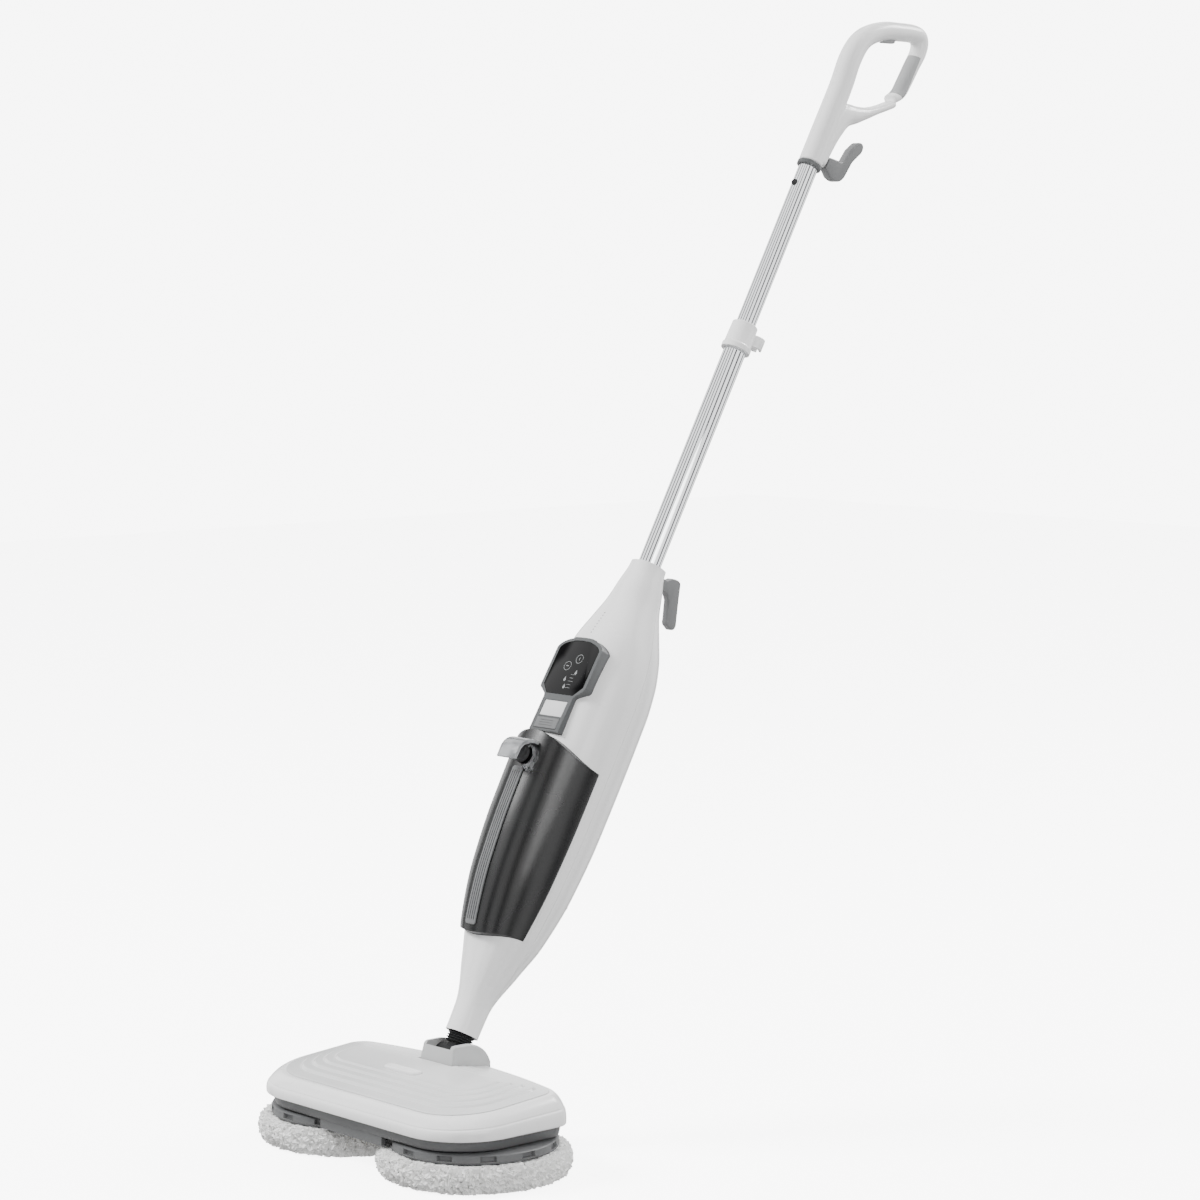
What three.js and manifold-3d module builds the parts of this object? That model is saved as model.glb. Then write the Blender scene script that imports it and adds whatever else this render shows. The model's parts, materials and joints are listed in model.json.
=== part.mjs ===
// Steam mop with two spinning pads, a water tank on the body and a telescopic pole.
// Millimetres, +Z up, the front of the mop towards -Y. The pole leans back from the neck.
import * as THREE from "three";
import { mergeVertices } from "three/addons/utils/BufferGeometryUtils.js";
import Module from "manifold-3d";

const wasm = await Module();
wasm.setup();

// ---------------------------------------------------------------- driving dimensions
const GAP = 0.3; // clearance between pieces that touch
const WALL = 2.4; // wall of the white housings

// head
const PAD_RADIUS = 85;
const PAD_THICKNESS = 24;
const PAD_SPACING = 2 * PAD_RADIUS + 3; // between the two spin axes
const DISC_RADIUS = 75;
const DISC_THICKNESS = 8.5;
const CHASSIS_BOTTOM = 34.5;
const CHASSIS_INSET = 5; // chassis side, in from the cover's foot
const CHASSIS_WALL = 3;
const COVER_BOTTOM = 45;
const COVER_TOP = 68.5; // flat top, midway along the head
const COVER_HALF_WIDTH = 154;
const COVER_HALF_DEPTH = 79;
const COVER_FRONT_CORNER = 60;
const COVER_REAR_CORNER = 20;
const COVER_SWEEP = 0.28; // share of the rear depth lost at the cover's two ends
const COVER_TAPER = 13; // how far the flat top stands in from the foot
const TOP_SLOPE = 0.08; // the flat top falls towards the front
const PANEL_MARGIN = 3; // top panel's edge, in from the flat top
const PANEL_RISE = 9.5; // top panel's dome, above its foot
const PEDAL_Y = -11;
const PEDAL_HALF_LENGTH = 23.5;
const PEDAL_HALF_WIDTH = 5.5;
const PEDAL_PROUD = 2.5; // above the top panel
const MOTOR_Y = -30;
const MOTOR_Z = 50.8;
const MOTOR_RADIUS = 12;
const MOTOR_HALF_LENGTH = 34;
const WHEEL_RADIUS = 23.5;
const WORM_RADIUS = 6;
const SHAFT_RADIUS = 5;
const BUSH_RADIUS = 8;
const BALLAST_HALF_WIDTH = 41; // steel plate on the chassis floor, either side of a spin axis
const BALLAST_THICKNESS = 6.6;
const BALLAST_BAR_TOP = 56; // thicker bar along the front of the plate

// neck
const NECK_Y = 48;
const NECK_Z = 82.5;
const LEAN = THREE.MathUtils.degToRad(29.2);
const BRACKET_HALF_WIDTH = 24;
const BRACKET_FRONT = 26;
const BRACKET_BACK = 73;
const BRACKET_TOP = 99;
const BRACKET_FOOT = 58;
const SLOT_HALF_WIDTH = 17; // slot in the bracket that the neck and the body's end move in
const TILT_PIN_RADIUS = 3;
const ROLL_PIN_RADIUS = 2.5;
const ROLL_HEIGHT = 26; // roll pin above the tilt pin, along the pole
const KNUCKLE_RADIUS = 9.5;

// body, heights measured along the pole from the tilt pin
const BODY_BOTTOM = 20;
const BODY_TOP = 494;
const BODY_HALF_WIDTH = 47.5;
const SHELL_FRONT = 42; // deepest points ahead of and behind the pole's axis
const SHELL_REAR = 52;
const NECK_END_RADIUS = 15;
const TUBE_END_RADIUS = 16.5;
const SEAM = 9.5; // side seam, behind the pole's axis
const TANK_FRONT = 56;
const TANK_BOTTOM = 107;
const TANK_TOP = 301;
const TANK_BACK = -3; // back face of the tank
const TANK_WALL = 2;
const TANK_ARCH = 18; // how far the tank's top drops at its sides
const TANK_CUP = 16; // how far the tank's bottom rises at its sides
const VALVE_HEIGHT = 134;
const VALVE_RADIUS = 5;
const PANEL_TOP = 401;
const PANEL_WAIST = 338; // where the bezel narrows
const PANEL_BOTTOM = 304;
const BEZEL_HALF_WIDTH = 31;
const BEZEL_NECK_HALF_WIDTH = 20;
const BEZEL_FRONT = 45.5; // front face at the bezel's foot
const BEZEL_SLOPE = 5 / 97; // how fast that face falls back towards the top
const BEZEL_CORNER = 12;
const WINDOW_MARGIN = 4;
const LATCH_HALF_WIDTH = 15;
const LATCH_HEIGHT = 11;
const GLAND_HEIGHT = 350;
const LOWER_HOOK_HEIGHT = 486;
const FILLER_HEIGHT = 275;
const LIP_HEIGHT = 290; // top of the finger lip
const LIP_HALF_WIDTH = 13;
const TUBE_BEND = 22; // suction tube, to the side of the valve

// pole
const LOWER_TUBE_RADIUS = 11;
const UPPER_TUBE_RADIUS = 9.5;
const TUBE_WALL = 0.8;
const LOWER_TUBE_BOTTOM = 440;
const COLLAR_HEIGHT = 738; // middle of the pole collar
const TUBE_OVERLAP = 200; // upper tube inside the lower tube
const HANDLE_BOTTOM = 930;
const SOCKET_DEPTH = 50; // upper tube inside the handle
const SNAP_HEIGHT = 904;

// handle, in the plane of the pole: rearwards from the axis, and along the pole
const TOP_BAR = 1113; // height of the loop's top bar
const GRIP_SETBACK = 76; // centre line of the rear bar
const GRIP_FOOT = 1038; // where the rear bar meets the strut
const HOOK_HEIGHT = 941;
const TRIGGER_TURN = THREE.MathUtils.degToRad(28);
const TRIGGER_SETBACK = 33;
const TRIGGER_DROP = 22.5; // trigger centre, below the top bar

// ---------------------------------------------------------------- materials
const material = (color, roughness, metalness = 0, opacity = 1) =>
  new THREE.MeshStandardMaterial({ color, roughness, metalness, opacity, transparent: opacity < 1 });
const WHITE = material(0xf2f3f3, 0.25);
const PALE_GREY = material(0xdfe1e1, 0.22);
const BRACKET_GREY = material(0xcbcdcd, 0.35);
const MID_GREY = material(0x8c8e8f, 0.45);
const BEZEL_GREY = material(0x939596, 0.35);
const HOOK_GREY = material(0x8f9192, 0.4);
const GRIP_GREY = material(0xc3c5c6, 0.65);
const GLOSS_BLACK = material(0x0b0c0d, 0.08);
const RUBBER = material(0x161718, 0.7);
const SMOKY = material(0x26282a, 0.08, 0, 0.75);
const CHROME = material(0xe3e5e7, 0.12, 1);
const STEEL = material(0xb6b9bc, 0.3, 1);
const BRASS = material(0xc2a15c, 0.35, 1);
const ALUMINIUM = material(0xb9bcbf, 0.45, 1);
const BOARD_GREEN = material(0x1f5a3a, 0.6);
const NYLON = material(0xe6e1d2, 0.5);
const FLEECE = material(0xf6f6f4, 0.95);

// ---------------------------------------------------------------- solids
// A closed geometry as a solid, turned right side out.
function solid(geometry) {
  const bare = (geometry.index ? geometry.toNonIndexed() : geometry).clone();
  bare.deleteAttribute("normal");
  bare.deleteAttribute("uv");
  const merged = mergeVertices(bare, 1e-4);
  const build = (triVerts) =>
    new wasm.Manifold(
      new wasm.Mesh({ numProp: 3, vertProperties: merged.attributes.position.array, triVerts }),
    );
  const triVerts = new Uint32Array(merged.index.array);
  const made = build(triVerts);
  return made.volume() < 0 ? build(triVerts.reverse()) : made;
}

function geometryOf(made) {
  const mesh = made.getMesh();
  const geometry = new THREE.BufferGeometry();
  geometry.setAttribute("position", new THREE.BufferAttribute(mesh.vertProperties, 3));
  geometry.setIndex(new THREE.BufferAttribute(mesh.triVerts, 1));
  geometry.computeVertexNormals();
  return geometry;
}

// A named mesh of a solid, added to a group.
function part(group, name, made, finish) {
  const mesh = new THREE.Mesh(geometryOf(made), finish);
  mesh.name = name;
  group.add(mesh);
  return mesh;
}

// A box between two corners.
function block(low, high) {
  const size = high.map((h, i) => h - low[i]);
  const geometry = new THREE.BoxGeometry(...size);
  geometry.translate(...low.map((l, i) => l + size[i] / 2));
  return solid(geometry);
}

// A cylinder or cone along +Z from a base point.
function rod(radius, length, base = [0, 0, 0], sides = 24, topRadius = radius) {
  const geometry = new THREE.CylinderGeometry(topRadius, radius, length, sides);
  geometry.rotateX(Math.PI / 2);
  geometry.translate(base[0], base[1], base[2] + length / 2);
  return solid(geometry);
}

// A rod along the X or Y axis, centred on a point.
function crossRod(axis, radius, length, centre, sides = 16) {
  const geometry = new THREE.CylinderGeometry(radius, radius, length, sides);
  if (axis === "x") geometry.rotateZ(Math.PI / 2);
  geometry.translate(...centre);
  return solid(geometry);
}

// A solid of revolution about +Z from [radius, height] points that start and end on the axis.
function turned(profile, sides = 28, centre = [0, 0, 0]) {
  const geometry = new THREE.LatheGeometry(
    profile.map(([r, z]) => new THREE.Vector2(r, z)),
    sides,
  );
  geometry.rotateX(Math.PI / 2);
  geometry.translate(...centre);
  return solid(geometry);
}

// A ring along +Z.
function ring(outer, inner, height, base, sides = 32) {
  const bore = rod(inner, height + 2, [base[0], base[1], base[2] - 1], sides);
  return rod(outer, height, base, sides).subtract(bore);
}

// A solid through equal rings of points, closed by a fan at each end.
function loft(rings) {
  const count = rings[0].length;
  const points = rings.flat();
  const index = [];
  for (let k = 0; k + 1 < rings.length; k++) {
    for (let i = 0; i < count; i++) {
      const j = (i + 1) % count;
      const a = k * count + i;
      const b = k * count + j;
      index.push(a, b, b + count, a, b + count, a + count);
    }
  }
  const last = (rings.length - 1) * count;
  for (let i = 1; i + 1 < count; i++) {
    index.push(0, i + 1, i);
    index.push(last, last + i, last + i + 1);
  }
  const geometry = new THREE.BufferGeometry().setFromPoints(points);
  geometry.setIndex(index);
  return solid(geometry);
}

// A smooth value through [place, value] stations, without overshoot.
function through(stations) {
  const slope = stations.map((s, i) => {
    if (i === 0 || i === stations.length - 1) return 0;
    const [before, after] = [stations[i - 1], stations[i + 1]];
    const left = (s[1] - before[1]) / (s[0] - before[0]);
    const right = (after[1] - s[1]) / (after[0] - s[0]);
    return left * right <= 0 ? 0 : (2 * left * right) / (left + right);
  });
  return (place) => {
    let i = stations.findIndex((s) => s[0] > place) - 1;
    if (place <= stations[0][0]) return stations[0][1];
    if (i < 0) return stations.at(-1)[1];
    const [x0, y0] = stations[i];
    const [x1, y1] = stations[i + 1];
    const h = x1 - x0;
    const t = (place - x0) / h;
    const bend = (1 + 2 * t) * (1 - t) ** 2 * y0 + t * t * (3 - 2 * t) * y1;
    return bend + t * (1 - t) ** 2 * h * slope[i] + t * t * (t - 1) * h * slope[i + 1];
  };
}

// Evenly spaced values from start to end.
const steps = (start, end, count) =>
  Array.from({ length: count + 1 }, (_, i) => start + ((end - start) * i) / count);

// A rounded rectangle, centred.
function roundedShape(halfWidth, halfDepth, corner) {
  const shape = new THREE.Shape();
  const x = halfWidth - corner;
  const y = halfDepth - corner;
  shape.absarc(x, y, corner, 0, Math.PI / 2);
  shape.absarc(-x, y, corner, Math.PI / 2, Math.PI);
  shape.absarc(-x, -y, corner, Math.PI, Math.PI * 1.5);
  shape.absarc(x, -y, corner, Math.PI * 1.5, Math.PI * 2);
  return shape;
}

// A flat plate of a shape, along +Z from a height.
function plate(shape, height, base = 0, curveSegments = 8) {
  const geometry = new THREE.ExtrudeGeometry(shape, { depth: height, bevelEnabled: false, curveSegments });
  geometry.translate(0, 0, base);
  return solid(geometry);
}

// A shape drawn across and along the pole, as a slab between two depths.
function slab(shape, from, to, curveSegments = 8) {
  const geometry = new THREE.ExtrudeGeometry(shape, { depth: to - from, bevelEnabled: false, curveSegments });
  geometry.rotateX(Math.PI / 2);
  geometry.translate(0, to, 0);
  return solid(geometry);
}

// A bar along a curve in the plane of the pole, with its own depth and width at each step.
function bar(points, depths, widths, count, sides = 12) {
  const curve = new THREE.CatmullRomCurve3(points.map(([y, z]) => new THREE.Vector3(0, y, z)));
  const depth = through(depths);
  const width = through(widths);
  const rings = steps(0, 1, count).map((t) => {
    const centre = curve.getPoint(t);
    const along = curve.getTangent(t);
    return steps(0, Math.PI * 2, sides)
      .slice(1)
      .map((a) => {
        const inPlane = depth(t) * Math.cos(a);
        const across = width(t) * Math.sin(a);
        return new THREE.Vector3(across, centre.y - along.z * inPlane, centre.z + along.y * inPlane);
      });
  });
  return loft(rings);
}

// ---------------------------------------------------------------- head
// One ring of the head's outline: wide front corners, tight rear ones, and a rear edge that
// sweeps forward at both ends. A tilt of 1 lies in the plane of the flat top.
function headRing(height, inset, tilt) {
  const x = COVER_HALF_WIDTH - inset;
  const y = COVER_HALF_DEPTH - inset;
  const front = COVER_FRONT_CORNER - inset * 0.6;
  const rear = Math.max(COVER_REAR_CORNER - inset * 0.3, 4);
  const shape = new THREE.Shape();
  shape.absarc(x - rear, y - rear, rear, 0, Math.PI / 2);
  for (const share of steps(1, -1, 6).slice(1, -1)) shape.lineTo((x - rear) * share, y);
  shape.absarc(-x + rear, y - rear, rear, Math.PI / 2, Math.PI);
  shape.absarc(-x + front, -y + front, front, Math.PI, Math.PI * 1.5);
  shape.absarc(x - front, -y + front, front, Math.PI * 1.5, Math.PI * 2);
  return shape.getPoints(4).map((p) => {
    const swept = p.y > 0 ? p.y * (1 - COVER_SWEEP * (p.x / COVER_HALF_WIDTH) ** 2) : p.y;
    return new THREE.Vector3(p.x, swept, height + tilt * TOP_SLOPE * swept);
  });
}

// A solid through rings of the head's outline, each [height, inset, tilt].
const headLoft = (levels, inset = 0) =>
  loft(levels.map(([height, step, tilt = 0]) => headRing(height, step + inset, tilt)));

// The cover's outside: a near-upright band, a crease, then a shoulder up to the flat top.
function coverLevels(drop = 0) {
  const rise = COVER_TOP - COVER_BOTTOM;
  const shares = [
    [0.52, 0.12],
    [0.62, 0.26],
    [0.86, 0.62],
    [1, 1],
  ];
  const upper = shares.map(([up, inwards]) => [COVER_BOTTOM + rise * up - drop, COVER_TAPER * inwards, up]);
  return [[COVER_BOTTOM - (drop ? 1 : 0), 0, 0], ...upper];
}

const bracketHole = (gap) =>
  block(
    [-BRACKET_HALF_WIDTH - gap, BRACKET_FRONT - gap, BRACKET_FOOT - 5],
    [BRACKET_HALF_WIDTH + gap, BRACKET_BACK + gap, BRACKET_TOP + 5],
  );

const pedalShape = (grow) =>
  roundedShape(PEDAL_HALF_LENGTH + grow, PEDAL_HALF_WIDTH + grow, PEDAL_HALF_WIDTH + grow);

function headCover() {
  const inside = headLoft(coverLevels(WALL), WALL);
  return headLoft(coverLevels()).subtract(inside).subtract(bracketHole(GAP)).subtract(pedalHole());
}

// Domed insert on the cover's flat top, in terraces that each stand in from the one below.
function topPanel() {
  const foot = COVER_TOP + GAP;
  const edge = COVER_TAPER + PANEL_MARGIN;
  const levels = [
    [0, 0],
    [0.13, 2],
    [0.42, 14],
    [0.74, 32],
    [1, 50],
  ].map(([share, inwards]) => [foot + PANEL_RISE * share, edge + inwards, 1]);
  return headLoft(levels).subtract(bracketHole(GAP)).subtract(pedalHole());
}

const pedalHole = () => plate(pedalShape(GAP), 40, COVER_TOP - WALL - 10).translate([0, PEDAL_Y, 0]);

function footPedal() {
  const top = COVER_TOP + TOP_SLOPE * PEDAL_Y + GAP + PANEL_RISE + PEDAL_PROUD;
  const cap = plate(pedalShape(0), 5, top - 5);
  const stem = plate(pedalShape(-2.5), 14, top - 18);
  return cap.add(stem).translate([0, PEDAL_Y, 0]);
}

const padCentre = (side) => [(side * PAD_SPACING) / 2, 0, 0];

// Grey lower housing: a tray under the cover, with a keel between the pads.
function chassis() {
  const wall = headLoft(
    [
      [CHASSIS_BOTTOM, 2],
      [COVER_BOTTOM - GAP, 0],
    ],
    CHASSIS_INSET,
  );
  const hollow = headLoft(
    [
      [CHASSIS_BOTTOM + CHASSIS_WALL, 0],
      [COVER_BOTTOM + 1, 0],
    ],
    CHASSIS_INSET + CHASSIS_WALL,
  );
  const keel = block(
    [-9, -COVER_HALF_DEPTH + 12, CHASSIS_BOTTOM - 8],
    [9, COVER_HALF_DEPTH - 20, CHASSIS_BOTTOM + 1],
  );
  const boreThrough = [-1, 1].map((side) =>
    rod(BUSH_RADIUS + GAP, 20, [padCentre(side)[0], 0, CHASSIS_BOTTOM - 5], 24),
  );
  const keelTrim = [-1, 1].map((side) =>
    rod(DISC_RADIUS + 4, 12, [padCentre(side)[0], 0, CHASSIS_BOTTOM - 11.9], 48),
  );
  const trimmedKeel = keel.subtract(keelTrim[0]).subtract(keelTrim[1]);
  const nozzleHole = rod(6 + GAP, 30, [0, -COVER_HALF_DEPTH + 22, CHASSIS_BOTTOM - 12], 20);
  return wall
    .subtract(hollow)
    .add(trimmedKeel)
    .subtract(boreThrough[0])
    .subtract(boreThrough[1])
    .subtract(nozzleHole);
}

// Steel on the chassis floor round one spin axis: it keeps the mop's weight over the pads.
function ballast(side) {
  const floor = CHASSIS_BOTTOM + CHASSIS_WALL + GAP;
  const middle = (side * PAD_SPACING) / 2;
  const [low, high] = [middle - BALLAST_HALF_WIDTH, middle + BALLAST_HALF_WIDTH];
  const flat = headLoft(
    [
      [floor, 0],
      [floor + BALLAST_THICKNESS, 0],
    ],
    CHASSIS_INSET + CHASSIS_WALL + 2,
  ).intersect(block([low, -200, 0], [high, 200, 100]));
  const ends = [12, PAD_SPACING / 2 + 13].map((x) => side * x).sort((a, b) => a - b);
  const bar = headLoft(
    [
      [floor, 0],
      [BALLAST_BAR_TOP, 0],
    ],
    COVER_TAPER,
  ).intersect(block([ends[0], -200, 0], [ends[1], MOTOR_Y - MOTOR_RADIUS - 3, 100]));
  return flat.add(bar).subtract(rod(BUSH_RADIUS + 2, 20, [middle, 0, floor - 5], 24));
}

function steamNozzle() {
  const y = -COVER_HALF_DEPTH + 22;
  const profile = [[0, 0], [3, 0], [6, 5], [6, 18], [3.5, 20], [3.5, 26], [0, 26]];
  const body = turned(profile, 20, [0, y, CHASSIS_BOTTOM - 10]);
  return body.subtract(rod(1.5, 12, [0, y, CHASSIS_BOTTOM - 11], 12));
}

// Light grey block that holds the tilt pin. Its slot is open above and behind.
function neckBracket() {
  const side = new THREE.Shape();
  side.moveTo(BRACKET_FRONT, BRACKET_FOOT);
  side.lineTo(BRACKET_FRONT, BRACKET_TOP);
  side.lineTo(BRACKET_FRONT + 22, BRACKET_TOP);
  const shoulder = COVER_TOP + 4;
  const back = BRACKET_BACK;
  side.bezierCurveTo(back - 7, BRACKET_TOP - 2, back, BRACKET_TOP - 14, back, shoulder);
  side.lineTo(BRACKET_BACK, BRACKET_FOOT);
  const width = 2 * BRACKET_HALF_WIDTH;
  const geometry = new THREE.ExtrudeGeometry(side, { depth: width, bevelEnabled: false, curveSegments: 10 });
  geometry.translate(0, 0, -width / 2);
  geometry.rotateY(Math.PI / 2);
  geometry.rotateX(Math.PI / 2);
  const outer = solid(geometry);
  const slot = block(
    [-SLOT_HALF_WIDTH, BRACKET_FRONT + 4, NECK_Z - KNUCKLE_RADIUS - 1.5],
    [SLOT_HALF_WIDTH, BRACKET_BACK + 5, BRACKET_TOP + 5],
  );
  const pinHole = crossRod("x", TILT_PIN_RADIUS + GAP, width - 4, [0, NECK_Y, NECK_Z], 20);
  return outer.subtract(slot).subtract(pinHole);
}

function gearWheel() {
  const teeth = 20;
  const shape = new THREE.Shape();
  const root = WHEEL_RADIUS - 2.2;
  for (let i = 0; i < teeth; i++) {
    const pitch = (Math.PI * 2) / teeth;
    [[root, 0], [root, 0.45], [WHEEL_RADIUS, 0.6], [WHEEL_RADIUS, 0.85]].forEach(([r, share], k) => {
      const angle = (i + share) * pitch;
      const move = i + k === 0 ? "moveTo" : "lineTo";
      shape[move](r * Math.cos(angle), r * Math.sin(angle));
    });
  }
  return plate(shape, 9, 0).subtract(rod(SHAFT_RADIUS + GAP, 12, [0, 0, -1], 24));
}

// Motor shaft with a worm at each end: a row of thread ridges on a common core.
function wormShaft() {
  const half = PAD_SPACING / 2 + 16;
  const ridges = [];
  for (const side of [-1, 1]) {
    for (let i = -2; i <= 2; i++) ridges.push((side * PAD_SPACING) / 2 + i * 5);
  }
  let shaft = crossRod("x", 2.5, 2 * half, [0, 0, 0], 10);
  for (const x of ridges) shaft = shaft.add(crossRod("x", WORM_RADIUS, 2.5, [x, 0, 0], 10));
  return shaft;
}

function driveMotor() {
  const can = crossRod("x", MOTOR_RADIUS, 2 * MOTOR_HALF_LENGTH, [0, 0, 0], 28);
  const bosses = crossRod("x", 6, 2 * MOTOR_HALF_LENGTH + 8, [0, 0, 0], 20);
  return can.add(bosses).subtract(crossRod("x", 2.5 + GAP, 2 * MOTOR_HALF_LENGTH + 12, [0, 0, 0], 10));
}

function addHead(group) {
  part(group, "head_cover", headCover(), WHITE);
  part(group, "head_top_panel", topPanel(), PALE_GREY);
  part(group, "foot_pedal", footPedal(), WHITE);
  part(group, "head_chassis", chassis(), MID_GREY);
  part(group, "neck_bracket", neckBracket(), BRACKET_GREY);
  const pinLength = 2 * BRACKET_HALF_WIDTH - 5;
  part(group, "tilt_pin", crossRod("x", TILT_PIN_RADIUS, pinLength, [0, NECK_Y, NECK_Z], 20), STEEL);
  part(group, "left_ballast_plate", ballast(-1), STEEL);
  part(group, "right_ballast_plate", ballast(1), STEEL);
  part(group, "steam_nozzle", steamNozzle(), BRASS);
  part(group, "drive_motor", driveMotor(), STEEL).position.set(0, MOTOR_Y, MOTOR_Z);
  part(group, "worm_shaft", wormShaft(), STEEL).position.set(0, MOTOR_Y, MOTOR_Z);
}

// A pad with rounded edges, its disc, and the shaft that turns them.
function addRotor(group, side) {
  const name = side < 0 ? "left" : "right";
  const rotor = new THREE.Group();
  rotor.position.set(...padCentre(side));
  group.add(rotor);
  const roll = 8;
  const padProfile = [[0, 0]];
  for (const a of steps(-90, 0, 3)) {
    const t = THREE.MathUtils.degToRad(a);
    padProfile.push([PAD_RADIUS - roll + roll * Math.cos(t), roll + roll * Math.sin(t)]);
  }
  for (const a of steps(0, 90, 3)) {
    const t = THREE.MathUtils.degToRad(a);
    padProfile.push([PAD_RADIUS - roll + roll * Math.cos(t), PAD_THICKNESS - roll + roll * Math.sin(t)]);
  }
  padProfile.push([0, PAD_THICKNESS]);
  part(rotor, `${name}_mop_pad`, turned(padProfile, 32), FLEECE);
  const discFoot = PAD_THICKNESS + GAP;
  const disc = rod(DISC_RADIUS, DISC_THICKNESS, [0, 0, discFoot], 36);
  const socket = rod(SHAFT_RADIUS + GAP, DISC_THICKNESS, [0, 0, discFoot + 3], 24);
  part(rotor, `${name}_pad_disc`, disc.subtract(socket), MID_GREY);
  const shaftFoot = discFoot + 3 + GAP;
  const shaftTop = MOTOR_Z + 8;
  part(rotor, `${name}_drive_shaft`, rod(SHAFT_RADIUS, shaftTop - shaftFoot, [0, 0, shaftFoot], 24), STEEL);
  part(rotor, `${name}_worm_wheel`, gearWheel(), NYLON).position.z = MOTOR_Z - 4.5;
  const bush = ring(BUSH_RADIUS, SHAFT_RADIUS + GAP, 9, [0, 0, CHASSIS_BOTTOM - 1], 24);
  part(rotor, `${name}_shaft_bush`, bush, BRASS);
}

// ---------------------------------------------------------------- neck
function neckYoke() {
  const knuckle = crossRod("x", KNUCKLE_RADIUS, 2 * SLOT_HALF_WIDTH - 1, [0, 0, 0], 24);
  const post = block([-6, -7, 0], [6, 7, ROLL_HEIGHT + 6]);
  return knuckle
    .add(post)
    .subtract(crossRod("x", TILT_PIN_RADIUS + GAP, 2 * SLOT_HALF_WIDTH + 2, [0, 0, 0], 20))
    .subtract(crossRod("y", ROLL_PIN_RADIUS + GAP, 20, [0, 0, ROLL_HEIGHT], 20));
}

// Ribbed rubber sleeve round the post, between the knuckle and the body.
function neckBoot() {
  const bottom = KNUCKLE_RADIUS + 0.8;
  const top = BODY_BOTTOM - GAP;
  const ribs = 3;
  const pitch = (top - bottom) / ribs;
  const profile = [[9.7, bottom]];
  for (let i = 0; i < ribs; i++) {
    profile.push([11, bottom + i * pitch]);
    profile.push([12.6, bottom + (i + 0.5) * pitch]);
  }
  profile.push([11, top], [9.7, top], [9.7, bottom]);
  return turned(profile, 24);
}

function addNeck(stick) {
  part(stick, "neck_yoke", neckYoke(), GLOSS_BLACK);
  part(stick, "neck_boot", neckBoot(), RUBBER);
}

// ---------------------------------------------------------------- body
// How far the body has swelled from its end radius to its full size, by its share of the height.
const swell = through([
  [0, 0],
  [0.05, 0.015],
  [0.143, 0.36],
  [0.21, 0.64],
  [0.327, 0.892],
  [0.45, 0.985],
  [0.593, 1],
  [0.7, 0.99],
  [0.762, 0.925],
  [0.816, 0.77],
  [0.867, 0.51],
  [0.913, 0.27],
  [0.949, 0.155],
  [1, 0],
]);
const SQUARENESS = 2.3; // 2 is an ellipse

// One ring round the body, with its own depth ahead of the axis.
function bodyRing(height, inset, front, sides) {
  const share = (height - BODY_BOTTOM) / (BODY_TOP - BODY_BOTTOM);
  const end = share < 0.5 ? NECK_END_RADIUS : TUBE_END_RADIUS;
  const grown = (full) => end + (full - end) * swell(share) - inset;
  const squared = (value) => Math.sign(value) * Math.abs(value) ** (2 / SQUARENESS);
  return steps(0, Math.PI * 2, sides)
    .slice(1)
    .map((a) => {
      const depth = Math.sin(a) < 0 ? grown(front) : grown(SHELL_REAR);
      const width = grown(BODY_HALF_WIDTH);
      return new THREE.Vector3(width * squared(Math.cos(a)), depth * squared(Math.sin(a)), height);
    });
}

function bodyLoft(from, to, inset, { front = SHELL_FRONT, count = 14, sides = 24 } = {}) {
  return loft(steps(from, to, count).map((height) => bodyRing(height, inset, front, sides)));
}

// The tank's outline seen from the front, grown by a margin: a cupped foot and an arched top.
function tankOutline(grow) {
  const x = BODY_HALF_WIDTH + 12;
  const arch = TANK_ARCH * (x / BODY_HALF_WIDTH) ** 2;
  const cup = TANK_CUP * (x / BODY_HALF_WIDTH) ** 2;
  const foot = TANK_BOTTOM - grow;
  const top = TANK_TOP + grow;
  const shape = new THREE.Shape();
  shape.moveTo(-x, foot + cup);
  shape.quadraticCurveTo(0, foot - cup, x, foot + cup);
  shape.lineTo(x, top - arch);
  shape.quadraticCurveTo(0, top + arch, -x, top - arch);
  return shape;
}

const behind = (y) => block([-150, y, -100], [150, 200, 1300]);
const ahead = (y) => block([-150, -200, -100], [150, y, 1300]);
const valveBore = (radius, from, to) =>
  crossRod("y", radius, to - from, [0, (from + to) / 2, VALVE_HEIGHT], 20);

// Both shells in one piece, before they are split at the side seam.
function bodyCase() {
  const inside = bodyLoft(BODY_BOTTOM - 0.5, BODY_TOP - 10, WALL);
  const bore = rod(LOWER_TUBE_RADIUS + GAP, BODY_TOP, [0, 0, LOWER_TUBE_BOTTOM], 28);
  const pinHoles = crossRod("y", ROLL_PIN_RADIUS + GAP, 27.6, [0, 0, ROLL_HEIGHT], 16);
  return bodyLoft(BODY_BOTTOM, BODY_TOP, 0).subtract(inside).subtract(bore).subtract(pinHoles);
}

function frontShell() {
  const bayWalls = bodyLoft(BODY_BOTTOM, BODY_TOP, 0.2)
    .intersect(slab(tankOutline(GAP + WALL), -80, GAP))
    .subtract(slab(tankOutline(GAP), -90, TANK_BACK + GAP));
  const front = bodyCase().intersect(ahead(SEAM - GAP / 2)).subtract(slab(tankOutline(GAP), -90, 0));
  const bezelHole = slab(bezelShape(GAP), -80, -8);
  return front
    .add(bayWalls)
    .subtract(slab(tankOutline(GAP), -90, TANK_BACK + GAP))
    .subtract(valveBore(VALVE_RADIUS + 3 + GAP, TANK_BACK - 2, 2))
    .subtract(bezelHole);
}

const screwPlaces = () => [
  [0, 75],
  [-22, 165],
  [22, 165],
  [0, 390],
];
const rearAt = (height) => {
  return Math.max(...bodyRing(height, 0, SHELL_FRONT, 24).map((p) => p.y));
};

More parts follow.
